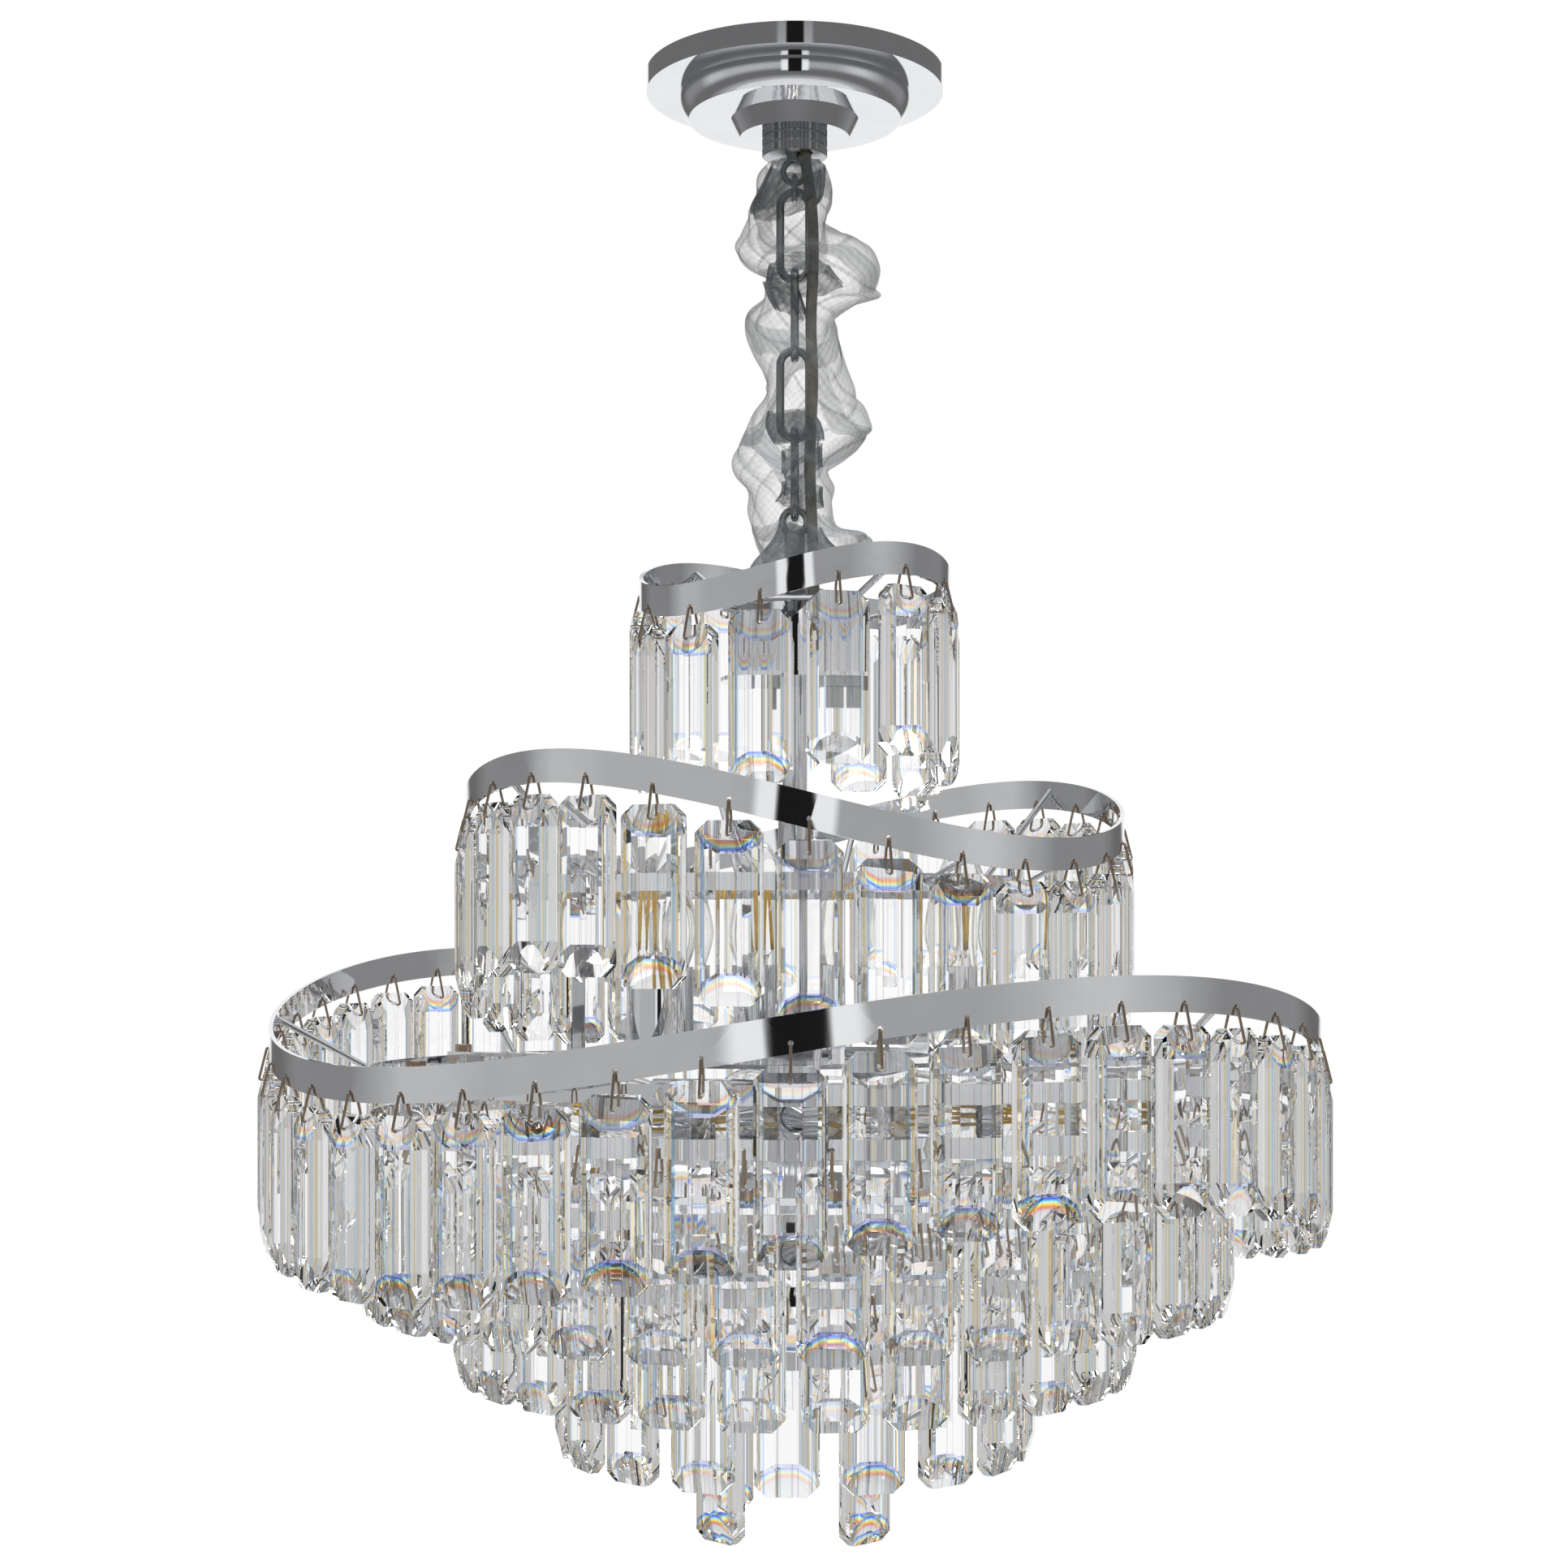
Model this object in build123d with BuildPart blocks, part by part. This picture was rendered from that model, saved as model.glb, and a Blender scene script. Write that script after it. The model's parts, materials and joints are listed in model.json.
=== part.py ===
"""Crystal chandelier: three wave rings of hanging glass bars over four stepped inner rings, on a chain.

Millimetres, +Z up. The origin is on the ceiling, at the middle of the mounting strap, so everything hangs
at negative Z. Angles run round the lamp from the front (-Y) and grow towards the right (+X).
"""

from build123d import *
import os
from math import cos, pi, radians, sin, tan

os.makedirs("parts", exist_ok=True)

# ---------------------------------------------------------------- clearances
LINK_GAP = 0.1  # between two chain wires that hang on each other
RUN_GAP = 0.05  # radial, turning thread on its collar
SLIP_GAP = 0.1  # radial, a tube through its hole
SEAT_GAP = 0.3  # between soft or curved faces that lie beside each other

# ---------------------------------------------------------------- canopy and ceiling fixing
CANOPY_WALL = 1.2
CANOPY_R = 71.7
CANOPY_RIM = 10.0
STEP_2_R = 55.5
STEP_2_R_LOW = 51.3
STEP_2_HEIGHT = 12.5
STEP_3_R = 30.9
STEP_3_R_LOW = 26.6
STEP_3_HEIGHT = 8.9
STEP_BULGE = 1.2  # how far the second step's side swells out
STRAP_LENGTH = 110.0
STRAP_WIDTH = 22.0
STRAP_THICK = 2.0
SLOT_SPACING = 80.0
SLOT_WIDTH = 5.0
SLOT_LENGTH = 15.0
NIPPLE_R = 5.0
NIPPLE_BORE_R = 3.75
BLOCK_SIZE = (14.0, 20.0, 11.0)  # terminal block
BLOCK_OFFSET = 22.5
BLOCK_SCREW_R = 2.0
BLOCK_SCREW_DEPTH = 3.0
COLLAR_R = 12.5
COLLAR_BORE_R = 10.5
COLLAR_TOP = -12.0
COLLAR_CAP = 3.0
NUT_R = 15.75
NUT_HEIGHT = 4.65
KNURLS = 48
KNURL_DEPTH = 0.7
KNURL_LIP = 0.45
EYE_R = 5.5  # wire centre line of the ceiling eye
EYE_WIRE_R = 1.5
EYE_NECK_R = 4.0
EYE_NECK_LENGTH = 2.4
EYE_SINK = 0.1  # the eye's wire starts this far inside the ring's underside
CABLE_HOLE_R = 3.6
CABLE_EXIT = (5.2, -7.6)  # where the cable comes out under the knurled ring

# ---------------------------------------------------------------- chain
RING_R = 5.5  # wire centre line of the small ring between the eye and the chain
RING_WIRE_R = 1.5
LINK_LENGTH = 46.5
LINK_WIDTH = 18.0
LINK_WIRE_R = 2.0
LINKS = 4
HUB_EYE_R = 6.0
HUB_EYE_WIRE_R = 1.75

# ---------------------------------------------------------------- crystals and clips
BAR_WIDTH = 29.0
BAR_LENGTH = 79.0
BAR_THICK = 12.0
BAR_SIDE = 4.8  # thickness left at the long sides
TABLE_HALF = 4.5
SHOULDER = (10.5, 5.0)  # half width and half thickness where the facets break
FLANK = (13.2, 3.6)
TIP_THICK = 4.4
TIP_SLOPE = 0.27
BAR_CORNER = 5.5
BAR_HOLE_R = 0.95
BAR_HOLE_DROP = 6.3  # from the bar's top to its hole
CLIP_WIRE_R = 0.6
CLIP_DROP = 14.8  # from the band hole to the bar's hole
CLIP_APEX = 1.9
CLIP_SPREAD = 5.6
CLIP_TIP_GAP = 0.6
CLIP_BEND = 0.9
BAND_HOLE_R = 1.1
CLIP_REST = 0.1  # between the clip's wire and the edge of its hole
BAND_HOLE_RISE = 4.0  # band hole above the band's lower edge

# ---------------------------------------------------------------- wave rings
BAND_THICK = 2.0
WAVE_BAND = 15.2
WAVE_POINTS = 24

# ---------------------------------------------------------------- inner frame
PLAIN_BAND = 8.5
ROD_R = 1.6
ROD_RISE = 2.5  # rods meet the wave rings this far above the band's middle, clear of the clips
HUB_R = 32.0
HUB_TOP = -255.6
HUB_BOTTOM = -293.0
HUB_WALL = 1.5
HUB_ROUND = 4.0
HUB_NUT_R = 8.0
HUB_NUT_HEIGHT = 5.0
COVER_R = 36.0
COVER_THICK = 2.0
STUD_R = 3.0
STUD_LENGTH = 14.0
STUD_CIRCLE = 25.0
STUDS = 3
STUD_PHASE = -160.0
STUD_INSIDE = 6.0
STUD_NUT_R = 5.55
STUD_NUT_HEIGHT = 4.0
TUBE_R = 6.0
TUBE_BORE_R = 4.0
COUPLING_Z = -382.0
COUPLING_LENGTH = 24.0
COUPLING_WALL = 2.0
TUBE_NUT_R = 10.5
TUBE_NUT_HEIGHT = 6.0
MID_RING_R = 110.0
MID_RING_Z = -394.0
MID_BAND = 8.0
POST_WIDTH = 6.6
POST_CHAMFER = 0.5
POST_INSET = 0.4  # the posts stand this far inside the ring they carry
POSTS = 4
POST_PHASE = 10.0
FRAME_R = 204.0
FRAME_TOP = -479.3
ARM_THICK = 2.0
ARM_WIDTH = 12.0
ARMS = 6
ARM_PHASE = 1.0
ARM_NUT_CIRCLE = 197.0
LUG_SIZE = (10.0, 12.0)  # along the radius, down
NUT_FLAT_R = 4.35
ARM_NUT_HEIGHT = 3.7
LAMP_RING_IN = 66.0
LAMP_RING_THICK = 2.0
TOP_RODS = 4
TOP_ROD_PHASE = -48.0
TOP_ROD_DROP = 9.0  # rods leave the hub this far below its top
MID_RODS = 8
MID_ROD_PHASE = 32.5
BOTTOM_RODS = 8
BOTTOM_ROD_PHASE = -88.0
BOTTOM_ROD_DROP = 3.0  # rods leave the frame ring this far below its top
ARM_DISC_R = 22.0  # where the arms cross
NUT_CHAMFER = 0.5

# ---------------------------------------------------------------- lamps
CUP_R = 15.5
CUP_WALL = 1.0
CUP_LENGTH = 43.0
CUP_ROUND = 1.5
UPPER_LAMPS = 3
UPPER_LAMP_CIRCLE = 83.0
UPPER_LAMP_PHASE = 11.0
LOWER_LAMPS = 6
LOWER_LAMP_PHASE = 15.0
LAMP_HUB_R = 28.0
LAMP_HUB_HEIGHT = 33.0
LAMP_HUB_CHAMFER = 1.0
LAMP_Z = -503.0
SOCKET_R = 12.5
SOCKET_BORE_R = 7.1
SOCKET_LENGTH = 27.0
SOCKET_FLOOR = 4.0
SOCKET_FLANGE = 3.0
CAP_R = 7.0  # E14 screw cap
CAP_LENGTH = 24.0
CAP_COLLAR = 3.0  # the cap's wide end, under the glass
CONTACT_R = 2.4
CONTACT_HEIGHT = 2.5
GLASS_R = 17.5
GLASS_LENGTH = 75.0
GLASS_NECK_R = 8.6
GLASS_WALL = 0.9
BELLY_SHARE = 0.34  # of the glass's length, up to its widest place
SHOULDER_SHARE = 0.80
SHOULDER_R = 9.1
FILAMENTS = 4
FILAMENT_R = 0.9
FILAMENT_LENGTH = 38.0
FILAMENT_CIRCLE = 5.0
STEM_R = 2.2
STEM_LENGTH = 17.0
STEM_DISC = 1.0
STEM_DISC_RIM = 0.5  # the disc stands this far out round the filaments

# ---------------------------------------------------------------- lower tiers
BOWL_R = 87.0
BOWL_Z = -540.0
BOWL_THICK = 1.5
BOWL_RIM = 4.0
BOWL_SLOPE = 6.0  # width of the sloping rim
BASE_NUT_R = 11.0
BASE_NUT_HEIGHT = 14.0
BASE_NUT_ROUND = 5.0
TUBE_END = BOWL_Z - 9.0
RIBS = 4
RIB_PHASE = 30.0
RIB_BEND = 3.0
RIB_STEP = 3.2  # the rib comes in this far above each ring
RIB_TAIL = 1.5  # and stays on it to this far above its lower edge
RIB_HEAD = 0.5

# ---------------------------------------------------------------- cable and sleeve
CABLE_R = 2.75
CABLE_GAP = 4.8  # under the knurled disc, so that the cable clears its eye when the chain swings
CABLE_ENTRY = (9.2, -6.4)  # where the cable goes into the hub
CABLE_INSIDE = 6.0
SLEEVE_WALL = 0.8
SLEEVE_FOLDS = 4
SLEEVE_DROP = 3.4  # from the knurled ring to the sleeve's top edge


class Tier:
    """One ring of hanging crystals: radius, mid height, crystal count and the first crystal's angle."""

    def __init__(self, name, radius, height, band, count, first, wave=0.0, phase=0.0, side=0.0, front=0.0):
        self.name = name
        self.radius = radius
        self.height = height
        self.band = band
        self.count = count
        self.first = first
        self.wave = wave
        self.phase = phase
        self.side = side
        self.front = front

    def z(self, angle):
        """Height of the band's middle line at an angle in degrees: two waves a turn, and a slight lean."""
        a = radians(angle)
        swing = self.wave * sin(2 * (a - radians(self.phase)))
        return self.height + swing + self.side * sin(a) + self.front * cos(a)

    def angles(self):
        return [self.first + 360.0 * i / self.count for i in range(self.count)]

    def hole_z(self, angle):
        return self.z(angle) - self.band / 2 + BAND_HOLE_RISE


TOP = Tier("top", 74.2, -249.3, WAVE_BAND, 13, 15.2, wave=9.6, phase=-3.4, front=-4.6)
MID = Tier("mid", 157.4, -362.7, WAVE_BAND, 29, 2.0, wave=19.5, phase=88.2)
BOTTOM = Tier("bottom", 250.0 - BAND_THICK / 2, -462.3, WAVE_BAND, 45, -0.6, wave=25.8, phase=-6.4, side=-9.5)
TIER_1 = Tier("tier_1", FRAME_R, -505.5, PLAIN_BAND, 36, 4.0)
TIER_2 = Tier("tier_2", 158.0, -540.6, PLAIN_BAND, 28, 6.0)
TIER_3 = Tier("tier_3", 110.0, -577.8, PLAIN_BAND, 18, -2.0)
TIER_4 = Tier("tier_4", 48.0, -615.5, PLAIN_BAND, 4, 43.0)
WAVE_TIERS = [TOP, MID, BOTTOM]
PLAIN_TIERS = [TIER_1, TIER_2, TIER_3, TIER_4]
TIERS = WAVE_TIERS + PLAIN_TIERS

# ---------------------------------------------------------------- heights that follow from the sizes above
step_2_top = -CANOPY_RIM
step_3_top = step_2_top - STEP_2_HEIGHT
canopy_bottom = step_3_top - STEP_3_HEIGHT
nut_top = canopy_bottom
disc_top = nut_top - NUT_HEIGHT
disc_bottom = disc_top - NUT_HEIGHT
eye_z = disc_bottom - EYE_R - EYE_WIRE_R + EYE_SINK
eye_hook_z = eye_z - EYE_R
ring_z = eye_hook_z + EYE_WIRE_R + RING_WIRE_R + LINK_GAP - RING_R
ring_hook_z = ring_z - RING_R
link_reach = LINK_LENGTH / 2 - LINK_WIRE_R  # from a link's middle to its end wire's centre
link_pitch = 2 * link_reach - 2 * LINK_WIRE_R - LINK_GAP
first_link_z = ring_hook_z + RING_WIRE_R + LINK_WIRE_R + LINK_GAP - link_reach
chain_end_z = first_link_z - (LINKS - 1) * link_pitch - link_reach
hub_eye_top = chain_end_z + LINK_WIRE_R + HUB_EYE_WIRE_R + LINK_GAP
hub_eye_z = hub_eye_top - HUB_EYE_R
cover_bottom = HUB_BOTTOM - COVER_THICK
arm_bottom = FRAME_TOP
arm_top = FRAME_TOP + ARM_THICK
lamp_ring_top = arm_top + LAMP_RING_THICK
lamp_ring_out = MID_RING_R - BAND_THICK / 2
post_circle = lamp_ring_out - POST_WIDTH / 2 - POST_INSET
mid_ring_bottom = MID_RING_Z - MID_BAND / 2
mid_ring_top = MID_RING_Z + MID_BAND / 2


def at(radius, angle, z):
    """The point at a radius and an angle from the front."""
    return Vector(radius * sin(radians(angle)), -radius * cos(radians(angle)), z)


def turned(radius, angle, z):
    """A place at a radius and an angle, with its own -Y pointing outwards."""
    return Location(at(radius, angle, z), (0, 0, angle))


def around(count, phase):
    return [phase + 360.0 * i / count for i in range(count)]


def save(builder, name):
    builder.part.label = name
    export_step(builder.part, f"parts/{name}.step")


def eye(radius, wire_r, plane):
    """A wire ring in a plane, as a builder."""
    with BuildPart() as made:
        with BuildLine(plane):
            CenterArc((0, 0), radius, 0, 360)
        start = Plane(origin=plane.from_local_coords((radius, 0, 0)), z_dir=plane.y_dir)
        with BuildSketch(start):
            Circle(wire_r)
        sweep()
    return made


# ================================================================ ceiling fixing

with BuildPart() as canopy:
    with BuildSketch(Plane.XZ) as canopy_profile:
        with BuildLine():
            Polyline(
                (COLLAR_R + SLIP_GAP, canopy_bottom),
                (STEP_3_R_LOW, canopy_bottom),
                (STEP_3_R, step_3_top),
                (STEP_2_R_LOW, step_3_top),
            )
            ThreePointArc(
                (STEP_2_R_LOW, step_3_top),
                ((STEP_2_R + STEP_2_R_LOW) / 2 + STEP_BULGE, (step_2_top + step_3_top) / 2 - STEP_BULGE),
                (STEP_2_R, step_2_top),
            )
            Polyline(
                (STEP_2_R, step_2_top),
                (CANOPY_R, step_2_top),
                (CANOPY_R, 0),
                (CANOPY_R - CANOPY_WALL, 0),
                (CANOPY_R - CANOPY_WALL, step_2_top + CANOPY_WALL),
                (STEP_2_R - CANOPY_WALL, step_2_top + CANOPY_WALL),
            )
            ThreePointArc(
                (STEP_2_R - CANOPY_WALL, step_2_top + CANOPY_WALL),
                ((STEP_2_R + STEP_2_R_LOW) / 2 + STEP_BULGE - CANOPY_WALL,
                 (step_2_top + step_3_top) / 2 - STEP_BULGE + CANOPY_WALL),
                (STEP_2_R_LOW - CANOPY_WALL, step_3_top + CANOPY_WALL),
            )
            Polyline(
                (STEP_2_R_LOW - CANOPY_WALL, step_3_top + CANOPY_WALL),
                (STEP_3_R - CANOPY_WALL, step_3_top + CANOPY_WALL),
                (STEP_3_R_LOW - CANOPY_WALL, canopy_bottom + CANOPY_WALL),
                (COLLAR_R + SLIP_GAP, canopy_bottom + CANOPY_WALL),
                (COLLAR_R + SLIP_GAP, canopy_bottom),
            )
        make_face()
    revolve(axis=Axis.Z)
save(canopy, "canopy")

with BuildPart() as mounting_strap:
    with BuildSketch(Plane.XY.offset(-STRAP_THICK)):
        SlotOverall(STRAP_LENGTH, STRAP_WIDTH)
        with Locations((SLOT_SPACING / 2, 0), (-SLOT_SPACING / 2, 0)):
            SlotOverall(SLOT_LENGTH, SLOT_WIDTH, mode=Mode.SUBTRACT)
        Circle(NIPPLE_R, mode=Mode.SUBTRACT)
    extrude(amount=STRAP_THICK)
save(mounting_strap, "mounting_strap")

with BuildPart() as nipple:
    with BuildSketch(Plane.XY.offset(COLLAR_TOP - COLLAR_CAP)):
        Circle(NIPPLE_R)
        Circle(NIPPLE_BORE_R, mode=Mode.SUBTRACT)
    extrude(amount=-COLLAR_TOP + COLLAR_CAP)
save(nipple, "threaded_nipple")

with BuildPart() as terminal_block:
    with BuildSketch(Plane.XY.offset(-STRAP_THICK - BLOCK_SIZE[2])):
        with Locations((BLOCK_OFFSET, 0)):
            Rectangle(BLOCK_SIZE[0], BLOCK_SIZE[1])
    extrude(amount=BLOCK_SIZE[2])
    with BuildSketch(Plane.XY.offset(-STRAP_THICK - BLOCK_SIZE[2])):
        with Locations((BLOCK_OFFSET, 0)):
            with GridLocations(BLOCK_SIZE[0] / 2, BLOCK_SIZE[1] / 3, 2, 3):
                Circle(BLOCK_SCREW_R)
    extrude(amount=BLOCK_SCREW_DEPTH, mode=Mode.SUBTRACT)
save(terminal_block, "terminal_block")



def knurled_disc(bottom, top):
    """A disc with V grooves round its rim, and a plain lip at each end."""
    step = 360.0 / KNURLS
    teeth = [
        at(NUT_R - KNURL_DEPTH * (half % 2), half * step / 2, 0)
        for half in range(2 * KNURLS)
    ]
    with BuildPart() as disc:
        with BuildSketch(Plane.XY.offset(bottom)):
            Circle(NUT_R - KNURL_DEPTH)
        extrude(amount=top - bottom)
        with BuildSketch(Plane.XY.offset(bottom + KNURL_LIP)):
            with BuildLine():
                Polyline(*teeth, close=True)
            make_face()
        extrude(amount=top - bottom - 2 * KNURL_LIP)
    return disc


eye_plane = Plane(origin=(0, 0, eye_z), x_dir=(1, 0, 0), z_dir=(0, -1, 0))
ceiling_eye = eye(EYE_R, EYE_WIRE_R, eye_plane)
with BuildPart() as hanging_loop:
    add(knurled_disc(disc_bottom, disc_top).part)
    with BuildSketch(Plane.XY.offset(disc_top)):
        Circle(COLLAR_R)
    extrude(amount=COLLAR_TOP - disc_top)
    with BuildSketch(Plane.XY.offset(disc_top)):
        Circle(COLLAR_BORE_R)
    extrude(amount=COLLAR_TOP - COLLAR_CAP - disc_top, mode=Mode.SUBTRACT)
    with BuildSketch(Plane.XY.offset(COLLAR_TOP - COLLAR_CAP)):
        Circle(NIPPLE_R)
    extrude(amount=COLLAR_CAP, mode=Mode.SUBTRACT)
    with BuildSketch(Plane.XY.offset(disc_bottom)):
        Circle(EYE_NECK_R)
    extrude(amount=-EYE_NECK_LENGTH)
    with BuildSketch(Plane.XY.offset(disc_bottom)):
        with Locations(CABLE_EXIT):
            Circle(CABLE_HOLE_R)
    extrude(amount=NUT_HEIGHT, mode=Mode.SUBTRACT)
    add(ceiling_eye.part)
save(hanging_loop, "hanging_loop")

with BuildPart() as collar_ring:
    add(knurled_disc(disc_top, nut_top).part)
    with BuildSketch(Plane.XY.offset(disc_top)):
        Circle(COLLAR_R + RUN_GAP)
    extrude(amount=NUT_HEIGHT, mode=Mode.SUBTRACT)
save(collar_ring, "collar_ring")

# ================================================================ chain

swivel_ring = eye(RING_R, RING_WIRE_R, Plane(origin=(0, 0, ring_z), x_dir=(0, 1, 0), z_dir=(1, 0, 0)))
save(swivel_ring, "swivel_ring")


def chain_link(index):
    """One oblong link. Even links face the front and odd ones stand edge-on."""
    z = first_link_z - index * link_pitch
    across = (1, 0, 0) if index % 2 == 0 else (0, 1, 0)
    normal = (0, -1, 0) if index % 2 == 0 else (1, 0, 0)
    plane = Plane(origin=(0, 0, z), x_dir=across, z_dir=normal)
    bend = LINK_WIDTH / 2 - LINK_WIRE_R
    half = LINK_LENGTH / 2 - LINK_WIDTH / 2
    with BuildPart() as link:
        with BuildLine(plane):
            Line((bend, -half), (bend, half))
            CenterArc((0, half), bend, 0, 180)
            Line((-bend, half), (-bend, -half))
            CenterArc((0, -half), bend, 180, 180)
        with BuildSketch(Plane(origin=plane.from_local_coords((bend, -half, 0)), z_dir=plane.y_dir)):
            Circle(LINK_WIRE_R)
        sweep()
    return link


chain_links = [chain_link(i) for i in range(LINKS)]
for number, link in enumerate(chain_links, 1):
    save(link, f"chain_link_{number}")

# ================================================================ hub in the top tier

hub_eye_plane = Plane(origin=(0, 0, hub_eye_z), x_dir=(1, 0, 0), z_dir=(0, -1, 0))
hub_eye_ring = eye(HUB_EYE_R, HUB_EYE_WIRE_R, hub_eye_plane)
with BuildPart() as hub_eye:
    add(hub_eye_ring.part)
    with BuildSketch(Plane.XY.offset(hub_eye_z - HUB_EYE_R)):
        Circle(NIPPLE_R)
    extrude(amount=HUB_TOP - (hub_eye_z - HUB_EYE_R))
    with BuildSketch(Plane.XY.offset(HUB_TOP)):
        RegularPolygon(HUB_NUT_R, 6)
    extrude(amount=HUB_NUT_HEIGHT)
save(hub_eye, "hub_eye")

with BuildPart() as hub_cup:
    with BuildSketch(Plane.XY.offset(HUB_BOTTOM)):
        Circle(HUB_R)
    extrude(amount=HUB_TOP - HUB_BOTTOM)
    fillet(faces().sort_by(Axis.Z)[-1].edges(), HUB_ROUND)
    offset(amount=-HUB_WALL, openings=faces().sort_by(Axis.Z)[0])
    with BuildSketch(Plane.XY.offset(HUB_TOP)):
        with Locations(CABLE_ENTRY):
            Circle(CABLE_R + SLIP_GAP)
    extrude(amount=-2 * HUB_WALL, mode=Mode.SUBTRACT)
save(hub_cup, "hub_cup")

with BuildPart() as hub_cover:
    with BuildSketch(Plane.XY.offset(cover_bottom)):
        Circle(COVER_R)
        Circle(TUBE_R, mode=Mode.SUBTRACT)
        with PolarLocations(STUD_CIRCLE, STUDS, start_angle=STUD_PHASE):
            Circle(STUD_R + SLIP_GAP, mode=Mode.SUBTRACT)
    extrude(amount=COVER_THICK)
save(hub_cover, "hub_cover")

with BuildPart() as hub_studs:
    with BuildSketch(Plane.XY.offset(cover_bottom - STUD_LENGTH)):
        with PolarLocations(STUD_CIRCLE, STUDS, start_angle=STUD_PHASE):
            Circle(STUD_R)
    extrude(amount=STUD_LENGTH + COVER_THICK + STUD_INSIDE)
    with BuildSketch(Plane.XY.offset(cover_bottom - STUD_NUT_HEIGHT)):
        with PolarLocations(STUD_CIRCLE, STUDS, start_angle=STUD_PHASE):
            RegularPolygon(STUD_NUT_R, 6)
    extrude(amount=STUD_NUT_HEIGHT)
save(hub_studs, "hub_studs")

with BuildPart() as central_tube:
    with BuildSketch(Plane.XY.offset(TUBE_END)):
        Circle(TUBE_R)
        Circle(TUBE_BORE_R, mode=Mode.SUBTRACT)
    extrude(amount=HUB_BOTTOM - TUBE_END)
    with BuildSketch(Plane.XY.offset(COUPLING_Z)):
        Circle(TUBE_R + COUPLING_WALL)
        Circle(TUBE_R, mode=Mode.SUBTRACT)
    extrude(amount=COUPLING_LENGTH)
    with BuildSketch(Plane.XY.offset(arm_top)):
        RegularPolygon(TUBE_NUT_R, 6)
        Circle(TUBE_R, mode=Mode.SUBTRACT)
    extrude(amount=TUBE_NUT_HEIGHT)
save(central_tube, "central_tube")

# ================================================================ wave rings and plain rings


def wave_ring(tier):
    """A flat band on edge that rises and falls twice a turn, with a hole for each clip."""
    points = [at(tier.radius, a, tier.z(a)) for a in around(WAVE_POINTS, 0)]
    path = Edge.make_spline(points, periodic=True)
    upper_path = path.moved(Location((0, 0, tier.radius)))
    with BuildPart() as ring:
        with BuildSketch(Plane(origin=path @ 0, x_dir=(0, -1, 0), z_dir=path % 0)):
            Rectangle(BAND_THICK, tier.band)
        sweep(path=path, binormal=upper_path)
        with Locations(*[turned(tier.radius, a, tier.hole_z(a)) for a in tier.angles()]):
            Cylinder(BAND_HOLE_R, 4 * BAND_THICK, rotation=(90, 0, 0), mode=Mode.SUBTRACT)
    return ring


def plain_ring(tier):
    """A level band on edge with a hole for each clip."""
    with BuildPart() as ring:
        with BuildSketch(Plane.XY.offset(tier.height - tier.band / 2)):
            Circle(tier.radius + BAND_THICK / 2)
            Circle(tier.radius - BAND_THICK / 2, mode=Mode.SUBTRACT)
        extrude(amount=tier.band)
        with Locations(*[turned(tier.radius, a, tier.hole_z(a)) for a in tier.angles()]):
            Cylinder(BAND_HOLE_R, 4 * BAND_THICK, rotation=(90, 0, 0), mode=Mode.SUBTRACT)
    return ring


for tier in WAVE_TIERS:
    save(wave_ring(tier), f"wave_ring_{tier.name}")
for number, tier in enumerate(PLAIN_TIERS, 1):
    save(plain_ring(tier), f"tier_ring_{number}")

with BuildPart() as mid_inner_ring:
    with BuildSketch(Plane.XY.offset(mid_ring_bottom)):
        Circle(MID_RING_R + BAND_THICK / 2)
        Circle(MID_RING_R - BAND_THICK / 2, mode=Mode.SUBTRACT)
    extrude(amount=MID_BAND)
save(mid_inner_ring, "mid_inner_ring")


def spoke_rods(inner_r, inner_z, tier, count, phase, rise):
    """Round rods from an inner face to a wave ring's inner face, trimmed to both round faces."""
    outer_r = tier.radius - BAND_THICK / 2
    with BuildPart() as rods:
        for angle in around(count, phase):
            low = at(inner_r - 1, angle, inner_z)
            high = at(outer_r + 1, angle, tier.z(angle) + rise)
            with BuildSketch(Plane(origin=low, z_dir=high - low)):
                Circle(ROD_R)
            extrude(amount=(high - low).length)
        with BuildSketch(Plane.XY.offset(tier.height - 120)):
            Circle(outer_r)
            Circle(inner_r, mode=Mode.SUBTRACT)
        extrude(amount=240, mode=Mode.INTERSECT)
    return rods


top_rods = spoke_rods(HUB_R, HUB_TOP - TOP_ROD_DROP, TOP, TOP_RODS, TOP_ROD_PHASE, ROD_RISE)
save(top_rods, "top_ring_rods")
mid_rods = spoke_rods(MID_RING_R + BAND_THICK / 2, MID_RING_Z, MID, MID_RODS, MID_ROD_PHASE, ROD_RISE)
save(mid_rods, "mid_ring_rods")
bottom_rod_z = FRAME_TOP - BOTTOM_ROD_DROP
frame_out = FRAME_R + BAND_THICK / 2
bottom_rods = spoke_rods(frame_out, bottom_rod_z, BOTTOM, BOTTOM_RODS, BOTTOM_ROD_PHASE, ROD_RISE)
save(bottom_rods, "bottom_ring_rods")

# ================================================================ bottom frame

with BuildPart() as frame_ring:
    with BuildSketch(Plane.XY.offset(FRAME_TOP - PLAIN_BAND)):
        Circle(FRAME_R + BAND_THICK / 2)
        Circle(FRAME_R - BAND_THICK / 2, mode=Mode.SUBTRACT)
    extrude(amount=PLAIN_BAND)
    with BuildSketch(Plane.XY.offset(FRAME_TOP - PLAIN_BAND / 2)):
        with Locations(*[turned(ARM_NUT_CIRCLE, a, 0) for a in around(ARMS, ARM_PHASE)]):
            Rectangle(LUG_SIZE[1], 2 * (FRAME_R - BAND_THICK / 2 - ARM_NUT_CIRCLE) + 0.2)
    extrude(amount=PLAIN_BAND / 2)
save(frame_ring, "frame_ring")

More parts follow.
